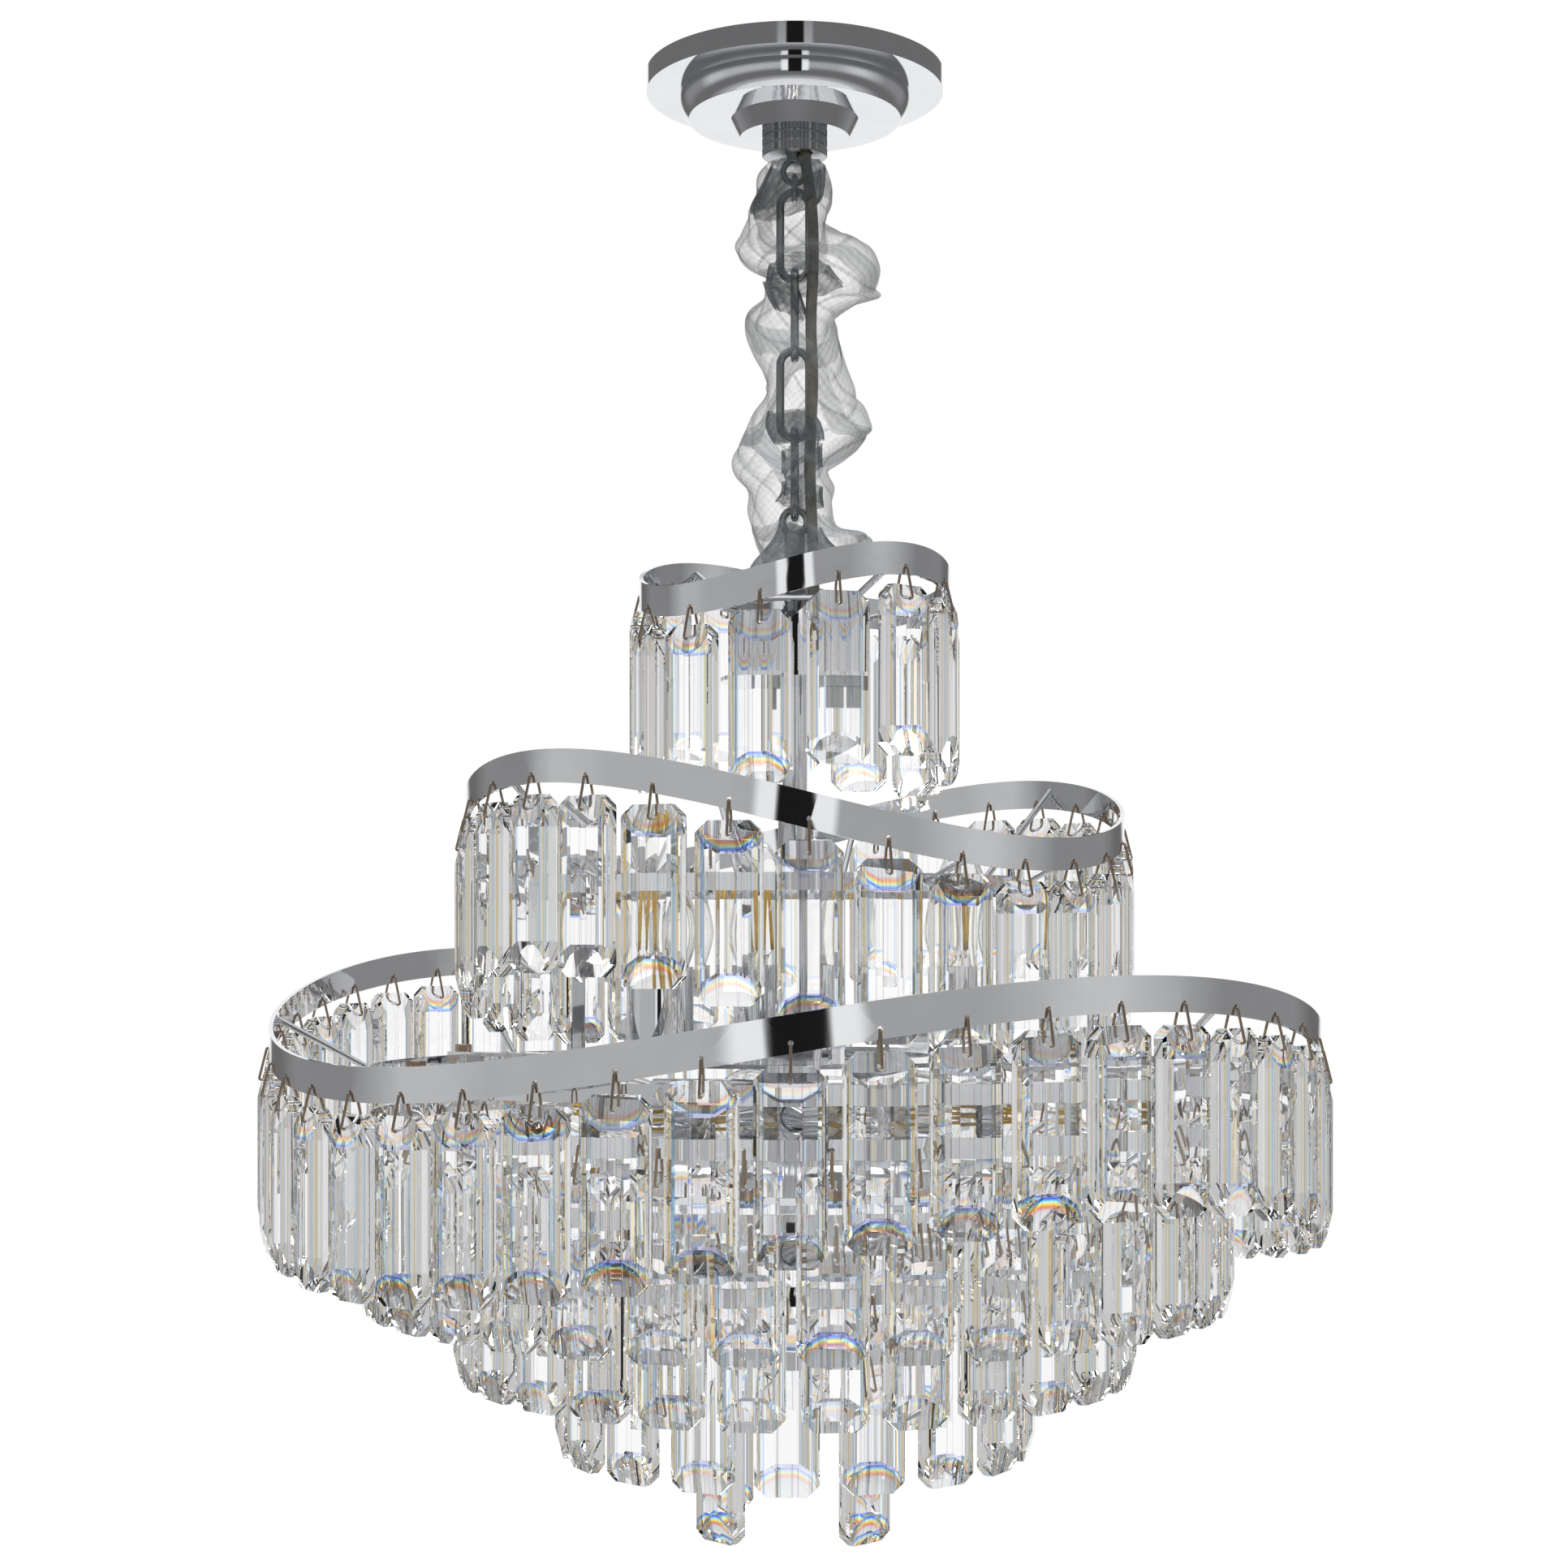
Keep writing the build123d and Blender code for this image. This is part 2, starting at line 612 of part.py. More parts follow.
with BuildPart() as cross_arms:
    with BuildSketch(Plane.XY.offset(arm_bottom)):
        Circle(ARM_DISC_R)
        for angle in around(ARMS // 2, ARM_PHASE):
            with Locations(Location((0, 0), angle + 90)):
                Rectangle(2 * (FRAME_R - BAND_THICK / 2), ARM_WIDTH)
        Circle(TUBE_R + SLIP_GAP, mode=Mode.SUBTRACT)
    extrude(amount=ARM_THICK)
save(cross_arms, "cross_arms")

with BuildPart() as arm_nuts:
    with BuildSketch(Plane.XY.offset(arm_top)):
        with Locations(*[turned(ARM_NUT_CIRCLE, a, 0) for a in around(ARMS, ARM_PHASE)]):
            RegularPolygon(NUT_FLAT_R, 6)
    extrude(amount=ARM_NUT_HEIGHT)
    chamfer(faces().group_by(Axis.Z)[-1].edges(), NUT_CHAMFER)
save(arm_nuts, "arm_nuts")

with BuildPart() as lamp_ring:
    with BuildSketch(Plane.XY.offset(arm_top)):
        Circle(lamp_ring_out)
        Circle(LAMP_RING_IN, mode=Mode.SUBTRACT)
    extrude(amount=LAMP_RING_THICK)
save(lamp_ring, "lamp_ring")

with BuildPart() as posts:
    with BuildSketch(Plane.XY.offset(lamp_ring_top)):
        with Locations(*[turned(post_circle, a, 0) for a in around(POSTS, POST_PHASE)]):
            Rectangle(POST_WIDTH, POST_WIDTH)
    extrude(amount=mid_ring_top - lamp_ring_top)
    chamfer(edges().filter_by(Axis.Z), POST_CHAMFER)
save(posts, "posts")

# ================================================================ lamps

cup_axes = [Plane(origin=at(UPPER_LAMP_CIRCLE, a, lamp_ring_top), z_dir=(0, 0, 1))
            for a in around(UPPER_LAMPS, UPPER_LAMP_PHASE - 60)]
cup_axes += [Plane(origin=at(LAMP_HUB_R, a, LAMP_Z), x_dir=(0, 0, 1), z_dir=at(1, a, 0))
             for a in around(LOWER_LAMPS, LOWER_LAMP_PHASE)]

with BuildPart() as cup:
    with BuildSketch():
        Circle(CUP_R)
    extrude(amount=CUP_LENGTH)
    fillet(faces().sort_by(Axis.Z)[0].edges(), CUP_ROUND)
    with BuildSketch(Plane.XY.offset(CUP_WALL)):
        Circle(CUP_R - CUP_WALL)
    extrude(amount=CUP_LENGTH, mode=Mode.SUBTRACT)

with BuildPart() as lamp_cups:
    with Locations(*[axis.location for axis in cup_axes]):
        add(cup.part)
save(lamp_cups, "lamp_cups")

with BuildPart() as socket:
    with BuildSketch(Plane.XY.offset(CUP_WALL)):
        Circle(SOCKET_R)
    extrude(amount=SOCKET_LENGTH)
    with BuildSketch(Plane.XY.offset(CUP_WALL + SOCKET_FLOOR)):
        Circle(SOCKET_BORE_R)
    extrude(amount=SOCKET_LENGTH, mode=Mode.SUBTRACT)
    with BuildSketch(Plane.XY.offset(CUP_WALL)):
        Circle(CUP_R - CUP_WALL)
        Circle(SOCKET_R, mode=Mode.SUBTRACT)
    extrude(amount=SOCKET_FLANGE)

with BuildPart() as lamp_sockets:
    with Locations(*[axis.location for axis in cup_axes]):
        add(socket.part)
save(lamp_sockets, "lamp_sockets")

with BuildPart() as lamp_hub:
    with BuildSketch(Plane.XY.offset(LAMP_Z - LAMP_HUB_HEIGHT / 2)):
        RegularPolygon(LAMP_HUB_R, LOWER_LAMPS, major_radius=False, rotation=LOWER_LAMP_PHASE)
        Circle(TUBE_R + SLIP_GAP, mode=Mode.SUBTRACT)
    extrude(amount=LAMP_HUB_HEIGHT)
    chamfer(faces().filter_by(Axis.Z).edges().filter_by(GeomType.LINE), LAMP_HUB_CHAMFER)
save(lamp_hub, "lamp_hub")

cap_bottom = CUP_WALL + SOCKET_FLOOR + CONTACT_HEIGHT
glass_bottom = cap_bottom + CAP_LENGTH
glass_top = glass_bottom + GLASS_LENGTH


def candle_profile(wall):
    """Half outline of the candle glass, drawn in by a wall thickness, open at its neck."""
    belly = glass_bottom + GLASS_LENGTH * BELLY_SHARE
    shoulder = glass_bottom + GLASS_LENGTH * SHOULDER_SHARE
    with BuildLine() as outline:
        Spline(
            (GLASS_NECK_R - wall, glass_bottom),
            (GLASS_R - wall, belly),
            (SHOULDER_R - wall * 0.9, shoulder),
            (0, glass_top - wall),
            tangents=((0.25, 1), (-1, 0)),
        )
    return outline.line


with BuildPart() as bulb:
    outer = candle_profile(0)
    inner = candle_profile(GLASS_WALL)
    with BuildSketch(Plane.XZ):
        with BuildLine():
            add(outer)
            add(inner)
            Line((0, glass_top), (0, glass_top - GLASS_WALL))
            Line((GLASS_NECK_R, glass_bottom), (GLASS_NECK_R - GLASS_WALL, glass_bottom))
        make_face()
    revolve(axis=Axis.Z)
    with BuildSketch(Plane.XY.offset(cap_bottom)):
        Circle(CAP_R)
    extrude(amount=CAP_LENGTH - CAP_COLLAR)
    with BuildSketch(Plane.XY.offset(cap_bottom + CAP_LENGTH - CAP_COLLAR)):
        Circle(GLASS_NECK_R)
    extrude(amount=CAP_COLLAR)
    with BuildSketch(Plane.XY.offset(cap_bottom)):
        Circle(CONTACT_R)
    extrude(amount=-CONTACT_HEIGHT)
    with BuildSketch(Plane.XY.offset(glass_bottom)):
        Circle(STEM_R)
    extrude(amount=STEM_LENGTH)
    with BuildSketch(Plane.XY.offset(glass_bottom + STEM_LENGTH)):
        Circle(FILAMENT_CIRCLE + FILAMENT_R + STEM_DISC_RIM)
    extrude(amount=-STEM_DISC)
    with BuildSketch(Plane.XY.offset(glass_bottom + STEM_LENGTH)):
        with PolarLocations(FILAMENT_CIRCLE, FILAMENTS):
            Circle(FILAMENT_R)
    extrude(amount=FILAMENT_LENGTH)

for number, axis in enumerate(cup_axes, 1):
    with BuildPart() as placed_bulb:
        with Locations(axis.location):
            add(bulb.part)
    save(placed_bulb, f"bulb_{number}")

# ================================================================ mirror bowl and ribs

with BuildPart() as mirror_bowl:
    with BuildSketch(Plane.XZ):
        with BuildLine():
            Polyline(
                (TUBE_R + SLIP_GAP, BOWL_Z),
                (BOWL_R - BOWL_SLOPE, BOWL_Z),
                (BOWL_R, BOWL_Z + BOWL_RIM),
                (BOWL_R - BOWL_THICK, BOWL_Z + BOWL_RIM),
                (BOWL_R - BOWL_SLOPE - BOWL_THICK / 2, BOWL_Z + BOWL_THICK),
                (TUBE_R + SLIP_GAP, BOWL_Z + BOWL_THICK),
                close=True,
            )
        make_face()
    revolve(axis=Axis.Z)
save(mirror_bowl, "mirror_bowl")

with BuildPart() as base_nut:
    with BuildSketch(Plane.XY.offset(BOWL_Z - BASE_NUT_HEIGHT)):
        Circle(BASE_NUT_R)
    extrude(amount=BASE_NUT_HEIGHT)
    fillet(faces().sort_by(Axis.Z)[0].edges(), BASE_NUT_ROUND)
    with BuildSketch(Plane.XY.offset(TUBE_END)):
        Circle(TUBE_R)
    extrude(amount=BOWL_Z - TUBE_END, mode=Mode.SUBTRACT)
save(base_nut, "base_nut")


def rib_points():
    """Where a rib runs: down the inside of the frame ring and of each tier ring, and in between them."""
    points = [(FRAME_R, FRAME_TOP - PLAIN_BAND + RIB_HEAD)]
    last = None
    for tier in PLAIN_TIERS:
        top = tier.height + tier.band / 2
        if last is not None:
            points.append((tier.radius, top + RIB_STEP))
        points.append((tier.radius, tier.height - tier.band / 2 + (RIB_TAIL if tier is not TIER_4 else 0)))
        last = tier
    inset = BAND_THICK / 2 + ROD_R
    return [(r - inset, z) for r, z in points]


with BuildPart() as rib:
    rib_line = [(r, 0, z) for r, z in rib_points()]
    with BuildLine() as rib_path:
        FilletPolyline(*rib_line, radius=RIB_BEND)
    with BuildSketch(Plane(origin=rib_line[0], z_dir=(0, 0, -1))):
        Circle(ROD_R)
    sweep(path=rib_path.line)

with BuildPart() as rib_rods:
    with Locations(*[Location((0, 0, 0), (0, 0, a - 90)) for a in around(RIBS, RIB_PHASE)]):
        add(rib.part)
save(rib_rods, "rib_rods")

# ================================================================ crystals and clips

with BuildPart() as crystal:
    half = [(TABLE_HALF, BAR_THICK / 2), SHOULDER, FLANK, (BAR_WIDTH / 2, BAR_SIDE / 2)]
    right = half + [(x, -y) for x, y in reversed(half)]
    outline = right + [(-x, y) for x, y in reversed(right)]
    with BuildSketch(Plane.XY.offset(BAR_HOLE_DROP - BAR_LENGTH)):
        with BuildLine():
            Polyline(*outline, close=True)
        make_face()
    extrude(amount=BAR_LENGTH)
    for end_z, up in ((BAR_HOLE_DROP, 1), (BAR_HOLE_DROP - BAR_LENGTH, -1)):
        for side in (1, -1):
            slope = Plane(origin=(0, side * TIP_THICK / 2, end_z), z_dir=(0, side, up * TIP_SLOPE))
            split(bisect_by=slope, keep=Keep.BOTTOM)
            corner = Plane(origin=(side * (BAR_WIDTH / 2 - BAR_CORNER), 0, end_z), z_dir=(side, 0, up))
            split(bisect_by=corner, keep=Keep.BOTTOM)
    Cylinder(BAR_HOLE_R, BAR_THICK, rotation=(90, 0, 0), mode=Mode.SUBTRACT)

with BuildPart() as clip:
    clip_line = [
        (0, CLIP_TIP_GAP, 0),
        (0, CLIP_SPREAD, 0),
        (0, CLIP_APEX, CLIP_DROP),
        (0, -CLIP_APEX, CLIP_DROP),
        (0, -CLIP_SPREAD, 0),
        (0, -CLIP_TIP_GAP, 0),
    ]
    with BuildLine() as clip_path:
        FilletPolyline(*clip_line, radius=CLIP_BEND)
    with BuildSketch(Plane(origin=clip_line[0], z_dir=(0, 1, 0))):
        Circle(CLIP_WIRE_R)
    sweep(path=clip_path.line)

clip_rest = BAND_HOLE_R - CLIP_WIRE_R - CLIP_REST  # the clip hangs low in its hole


def hanging_places(tier):
    """Where each bar's hole is, turned to face outwards."""
    return [turned(tier.radius, a, tier.hole_z(a) - clip_rest - CLIP_DROP) for a in tier.angles()]


for tier in TIERS[:-1]:
    with BuildPart() as crystals:
        with Locations(*hanging_places(tier)):
            add(crystal.part)
    save(crystals, f"crystals_{tier.name}")

for number, place in enumerate(hanging_places(TIER_4), 1):
    with BuildPart() as drop_crystal:
        with Locations(place):
            add(crystal.part)
    save(drop_crystal, f"drop_crystal_{number}")

with BuildPart() as crystal_clips:
    with Locations(*[place for tier in TIERS for place in hanging_places(tier)]):
        add(clip.part)
save(crystal_clips, "crystal_clips")

# ================================================================ cable and organza sleeve

cable_route = [
    (*CABLE_EXIT, disc_bottom - CABLE_GAP),
    (8.2, -6.2, -62.0),
    (9.2, -7.6, -92.0),
    (7.4, -6.0, -122.0),
    (9.0, -7.4, -152.0),
    (7.0, -6.2, -182.0),
    (7.8, -6.4, -212.0),
    (*CABLE_ENTRY, -236.0),
    (*CABLE_ENTRY, HUB_TOP - CABLE_INSIDE),
]


def tube_radii(route):
    """The arc at each corner: 0.45 of the shorter run over the tangent of half the turn."""
    points = [Vector(*p) for p in route]
    radii = []
    for a, b, c in zip(points, points[1:], points[2:]):
        turn = radians((b - a).get_angle(c - b))
        radii.append(0.45 * min((b - a).length, (c - b).length) / tan(turn / 2))
    return radii


cable_radii = tube_radii(cable_route)
print("cable arc radii", [round(r) for r in cable_radii])
with BuildPart() as supply_cable:
    with BuildLine() as cable_path:
        FilletPolyline(*cable_route, radius=cable_radii)
    first_run = Vector(*cable_route[1]) - Vector(*cable_route[0])
    with BuildSketch(Plane(origin=cable_route[0], z_dir=first_run)):
        Circle(CABLE_R)
    sweep(path=cable_path.line)
cable_length = sum(edge.length for edge in cable_path.edges())
print("cable length", round(cable_length, 1), "volume", round(supply_cable.part.volume, 1),
      "section x length", round(pi * CABLE_R**2 * cable_length, 1))
save(supply_cable, "supply_cable")

# Each section of the sleeve: height, ridge radius, valley radius and how far the folds have turned.
sleeve_sections = [
    (disc_bottom - SLEEVE_DROP, 14.0, 13.0, 0),
    (-56.0, 21.0, 15.0, 10),
    (-80.0, 30.0, 16.5, 35),
    (-103.0, 35.0, 17.0, 70),
    (-128.0, 20.0, 15.0, 100),
    (-152.0, 26.0, 15.5, 125),
    (-176.0, 33.0, 17.0, 160),
    (-196.0, 21.5, 16.5, 190),
    (-214.0, 20.0, 16.5, 205),
    (-230.0, 32.0, 17.5, 225),
    (-243.0, 20.0, 15.5, 235),
]


def folded_section(height, ridge, valley, twist, inset):
    """A closed ring of arcs with a rounded ridge at each fold and a rounded valley between folds."""
    step = 180.0 / SLEEVE_FOLDS
    middle = (ridge + valley) / 2 - inset
    with BuildSketch(Plane.XY.offset(height)) as section:
        with BuildLine():
            for i in range(2 * SLEEVE_FOLDS):
                crest = (ridge if i % 2 == 0 else valley) - inset
                start, top, end = twist + (i - 0.5) * step, twist + i * step, twist + (i + 0.5) * step
                ThreePointArc(at(middle, start, 0), at(crest, top, 0), at(middle, end, 0))
        make_face()
    return section


with BuildPart() as organza_sleeve:
    for inset, mode in ((0, Mode.ADD), (SLEEVE_WALL, Mode.SUBTRACT)):
        faces_up = [folded_section(*row, inset).sketch.face() for row in sleeve_sections]
        loft(sections=faces_up, ruled=True, mode=mode)
save(organza_sleeve, "organza_sleeve")
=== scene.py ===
"""Crystal chandelier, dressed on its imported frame. Metres, +Z up, the origin on the ceiling, -Y the front."""
import json
from functools import partial
from math import atan2, cos, degrees, pi, radians, sin

import bpy
from mathutils import Matrix, Vector


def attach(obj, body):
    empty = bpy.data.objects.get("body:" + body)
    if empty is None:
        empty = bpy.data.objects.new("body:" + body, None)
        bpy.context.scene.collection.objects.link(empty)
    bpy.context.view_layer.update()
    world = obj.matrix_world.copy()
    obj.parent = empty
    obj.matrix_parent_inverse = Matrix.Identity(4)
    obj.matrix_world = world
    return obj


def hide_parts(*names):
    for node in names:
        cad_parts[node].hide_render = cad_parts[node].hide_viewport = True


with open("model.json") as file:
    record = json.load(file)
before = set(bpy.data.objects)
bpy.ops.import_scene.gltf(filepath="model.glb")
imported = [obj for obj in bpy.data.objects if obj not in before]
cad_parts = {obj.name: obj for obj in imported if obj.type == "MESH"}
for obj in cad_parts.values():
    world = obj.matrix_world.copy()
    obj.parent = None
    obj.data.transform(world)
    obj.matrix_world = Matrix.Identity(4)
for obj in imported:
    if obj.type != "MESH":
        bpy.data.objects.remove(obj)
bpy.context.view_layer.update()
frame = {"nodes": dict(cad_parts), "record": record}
scene = bpy.context.scene


def new_object(name, data):
    obj = bpy.data.objects.new(name, data)
    scene.collection.objects.link(obj)
    return obj


# ---------------------------------------------------------------- camera: level, as high as the middle ring
PHOTO_SIDE = 1932.0  # pixels, both ways
HORIZON = 1170.0  # the pixel row at eye level
FOCAL = 3179.0  # pixels
SENSOR = 36.0
EYE = Vector((-0.0052, -1.250, -0.4243))
cam = bpy.data.cameras.new("camera")
cam.sensor_width = SENSOR
cam.lens = SENSOR * (FOCAL / PHOTO_SIDE)
cam.shift_y = (HORIZON - PHOTO_SIDE / 2) / PHOTO_SIDE
cam.clip_start = 0.05
camera = new_object("camera", cam)
camera.location = EYE
camera.rotation_euler = (radians(90), 0, 0)
scene.camera = camera

# ---------------------------------------------------------------- sizes shared with the solids, in metres
DISC_BOTTOM = -0.0407  # the knurled disc under the canopy
HUB_TOP = -0.2556
CABLE_R = 0.00275
CABLE_GAP = 0.0048  # from the disc down to the part of the cable that swings
GLASS_BOTTOM, GLASS_TOP = 0.0315, 0.1065  # above the foot of the bulb's cup
CAP_BOTTOM = 0.0075
UP = Vector((0, 0, 1))


def at(radius, angle, z):
    """The point at a radius and an angle in degrees from the front, growing to the right."""
    return Vector((radius * sin(radians(angle)), -radius * cos(radians(angle)), z))


# ---------------------------------------------------------------- supply cable, from the disc to the hub
CABLE_ROUTE = [
    (0.0052, -0.0076, DISC_BOTTOM - CABLE_GAP),
    (0.0082, -0.0062, -0.062),
    (0.0092, -0.0076, -0.092),
    (0.0074, -0.0060, -0.122),
    (0.0090, -0.0074, -0.152),
    (0.0070, -0.0062, -0.182),
    (0.0078, -0.0064, -0.212),
    (0.0092, -0.0064, -0.236),
    (0.0092, -0.0064, HUB_TOP - 0.006),
]
cable_data = bpy.data.curves.new("supply_cable_sheath", "CURVE")
cable_data.dimensions = "3D"
cable_data.bevel_depth = 1.0  # each point's radius is the real one, because it counts in the piece's bounds
cable_data.bevel_resolution = 8
cable_data.resolution_u = 16
cable_data.use_fill_caps = True
run = cable_data.splines.new("NURBS")
run.points.add(len(CABLE_ROUTE) - 1)
for point, place in zip(run.points, CABLE_ROUTE):
    point.co = (*place, 1.0)
    point.radius = CABLE_R
run.order_u = 3
run.use_endpoint_u = True
cable = new_object("supply_cable_sheath", cable_data)
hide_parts("supply_cable")
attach(cable, "pendant")


# ---------------------------------------------------------------- materials
def material(name):
    """An empty material, its nodes and links, and its output node."""
    mat = bpy.data.materials.new(name)
    mat.use_nodes = True
    nodes, links = mat.node_tree.nodes, mat.node_tree.links
    nodes.clear()
    out = nodes.new("ShaderNodeOutputMaterial")
    return mat, nodes, links, out


def set_input(links, socket, source):
    """Sets a socket to a number or a colour, or joins another node's output to it."""
    if isinstance(source, (int, float, tuple)):
        socket.default_value = source
    else:
        links.new(source, socket)


def calc(nodes, links, operation, a, b=0.0, clamp=False):
    """A sum on two numbers or outputs."""
    node = nodes.new("ShaderNodeMath")
    node.operation = operation
    node.use_clamp = clamp
    set_input(links, node.inputs[0], a)
    set_input(links, node.inputs[1], b)
    return node.outputs[0]


MIX_SOCKETS = {"FLOAT": (2, 3, 0), "RGBA": (6, 7, 2)}  # a Mix node's two inputs and its output


def mixed(nodes, links, kind, amount, a, b, how="MIX"):
    """a where amount is 0 and b where it is 1."""
    node = nodes.new("ShaderNodeMix")
    node.data_type = kind
    node.blend_type = how
    first, second, result = MIX_SOCKETS[kind]
    set_input(links, node.inputs[0], amount)
    set_input(links, node.inputs[first], a)
    set_input(links, node.inputs[second], b)
    return node.outputs[result]


def noise(nodes, links, scale, detail, rough):
    """Noise in the object's own metres."""
    place = nodes.new("ShaderNodeTexCoord")
    tex = nodes.new("ShaderNodeTexNoise")
    tex.inputs["Scale"].default_value = scale
    tex.inputs["Detail"].default_value = detail
    tex.inputs["Roughness"].default_value = rough
    links.new(place.outputs["Object"], tex.inputs["Vector"])
    return tex.outputs["Fac"]


def ramp(nodes, links, source, stops):
    """A colour for a number, from (place, colour) stops."""
    node = nodes.new("ShaderNodeValToRGB")
    while len(node.color_ramp.elements) < len(stops):
        node.color_ramp.elements.new(0.5)
    for element, (place, colour) in zip(node.color_ramp.elements, stops):
        element.position = place
        element.color = (*colour, 1.0)
    links.new(source, node.inputs["Fac"])
    return node.outputs["Color"]


def span(nodes, links, source, low, high):
    """Stretches 0 to 1 to run from low to high."""
    node = nodes.new("ShaderNodeMapRange")
    node.inputs["To Min"].default_value = low
    node.inputs["To Max"].default_value = high
    links.new(source, node.inputs["Value"])
    return node.outputs[0]


def bump(nodes, links, source, distance):
    """A surface normal that rises with source, by distance in metres."""
    node = nodes.new("ShaderNodeBump")
    node.inputs["Strength"].default_value = 1.0
    node.inputs["Distance"].default_value = distance
    links.new(source, node.inputs["Height"])
    return node.outputs["Normal"]


def metal(name, colour, rough, spread, wave=0.00002, wave_scale=26.0):
    """Polished or plated metal: a little haze in patches, and a surface that isn't quite flat."""
    mat, nodes, links, out = material(name)
    shader = nodes.new("ShaderNodeBsdfPrincipled")
    shader.inputs["Metallic"].default_value = 1.0
    haze = noise(nodes, links, 60.0, 4.0, 0.6)
    tone = ramp(nodes, links, haze, [(0.25, [c * 0.94 for c in colour]), (0.75, colour)])
    links.new(tone, shader.inputs["Base Color"])
    links.new(span(nodes, links, haze, rough, rough + spread), shader.inputs["Roughness"])
    swell = noise(nodes, links, wave_scale, 1.0, 0.4)
    links.new(bump(nodes, links, swell, wave), shader.inputs["Normal"])
    links.new(shader.outputs[0], out.inputs["Surface"])
    return mat


WHITE = (1.0, 1.0, 1.0)
ORANGE, YELLOW, BLUE = (1.0, 0.42, 0.06), (1.0, 0.86, 0.16), (0.12, 0.20, 1.0)
CYAN, ROSE, GREEN = (0.30, 0.90, 1.0), (1.0, 0.38, 0.46), (0.45, 1.0, 0.60)
PAINTED_CUT_FRINGES = [  # place across the bar, 0 to 1, and the two colours of a painted dispersion fringe side by side there
    (0.070, ORANGE, YELLOW),
    (0.132, BLUE, CYAN),
    (0.342, YELLOW, BLUE),
    (0.655, ROSE, CYAN),
    (0.868, GREEN, BLUE),
    (0.930, YELLOW, ORANGE),
]
LINE_INNER, LINE_OUTER = 0.004, 0.011  # half the width of a line's full colours, and of the whole line
LINE_DRIFT = 0.05  # how far a bar's lines can stand away from another's
BAR_HALF_WIDTH, BAR_HALF_LENGTH, ARCH_DEPTH = 1.45, 3.95, 1.52  # centimetres
# a sloped end's depth as a share of ARCH_DEPTH, from the middle of the bar to its side
ARCH = [(0.0, 0.92), (0.31, 0.92), (0.72, 0.69), (0.91, 0.34), (1.0, 0.04)]
PAINTED_ARCH_FRINGES_AND_SHADE = [  # centimetres in from the edge of a sloped end, and the colour there: painted dispersion bands, then painted grey shade over the rest of the end
    (0.0, WHITE), (0.012, (0.10, 0.06, 1.0)), (0.10, (0.06, 0.22, 1.0)), (0.17, (0.20, 0.90, 1.0)),
    (0.22, (0.92, 1.0, 0.75)), (0.30, (1.0, 0.86, 0.12)), (0.38, (1.0, 0.36, 0.04)),
    (0.46, (0.80, 0.30, 0.30)), (0.56, (0.74, 0.74, 0.76)), (1.0, (0.86, 0.87, 0.88)),
]


def crystal_glass():
    """Clear cut glass. Its edges split light, and that light is painted into its colour: thin lines of painted
    dispersion colour follow the long cuts, and painted spectral bands with painted grey shade fill the arches.
    """
    mat, nodes, links, out = material("crystal_glass")
    do = partial(calc, nodes, links)

    def split(attribute):
        """The three numbers of a vector kept on the mesh."""
        node = nodes.new("ShaderNodeAttribute")
        node.attribute_name = attribute
        parts = nodes.new("ShaderNodeSeparateXYZ")
        links.new(node.outputs["Vector"], parts.inputs[0])
        return parts.outputs

    shader = nodes.new("ShaderNodeBsdfPrincipled")
    shader.inputs["Transmission Weight"].default_value = 1.0
    shader.inputs["IOR"].default_value = 1.53
    shader.inputs["Roughness"].default_value = 0.0
    across, _, along = split("bar_place")
    chance_drift, chance_lower, chance_upper = split("bar_chance")
    drift = do("MULTIPLY", do("SUBTRACT", chance_drift, 0.5), LINE_DRIFT)
    # painted dispersion fringes: thin coloured lines along the long cuts, drifting a little from bar to bar
    lines = [(0.0, WHITE)]
    for centre, low, high in PAINTED_CUT_FRINGES:
        lines += [(centre - LINE_OUTER, WHITE), (centre - LINE_INNER, low),
                  (centre + LINE_INNER, high), (centre + LINE_OUTER, WHITE)]
    share = do("ADD", do("DIVIDE", across, 2 * BAR_HALF_WIDTH), 0.5)
    painted_fringes = ramp(nodes, links, do("ADD", share, drift), lines)
    sideways = do("DIVIDE", do("ABSOLUTE", across), BAR_HALF_WIDTH)
    arch = ramp(nodes, links, sideways, [(t, (depth,) * 3) for t, depth in ARCH])
    # painted spectral bands and painted grey shade on the sloped ends, stronger on some ends than on others
    from_end = do("SUBTRACT", BAR_HALF_LENGTH, do("ABSOLUTE", along))
    inside = do("SUBTRACT", do("MULTIPLY", arch, ARCH_DEPTH), from_end, True)
    painted_arch_bands = ramp(nodes, links, inside, PAINTED_ARCH_FRINGES_AND_SHADE)
    pick = mixed(nodes, links, "FLOAT", do("GREATER_THAN", along, 0.0), chance_lower, chance_upper)
    painted_arch_tint = mixed(nodes, links, "RGBA", do("POWER", pick, 1.3, True), (*WHITE, 1.0), painted_arch_bands)
    links.new(mixed(nodes, links, "RGBA", 1.0, painted_fringes, painted_arch_tint, "MULTIPLY"), shader.inputs["Base Color"])
    links.new(shader.outputs[0], out.inputs["Surface"])
    return mat


def plain_glass(name, colour, ior):
    """Clear glass with a slight tint."""
    mat, nodes, links, out = material(name)
    shader = nodes.new("ShaderNodeBsdfPrincipled")
    shader.inputs["Base Color"].default_value = (*colour, 1.0)
    shader.inputs["Transmission Weight"].default_value = 1.0
    shader.inputs["IOR"].default_value = ior
    shader.inputs["Roughness"].default_value = 0.0
    links.new(shader.outputs[0], out.inputs["Surface"])
    return mat


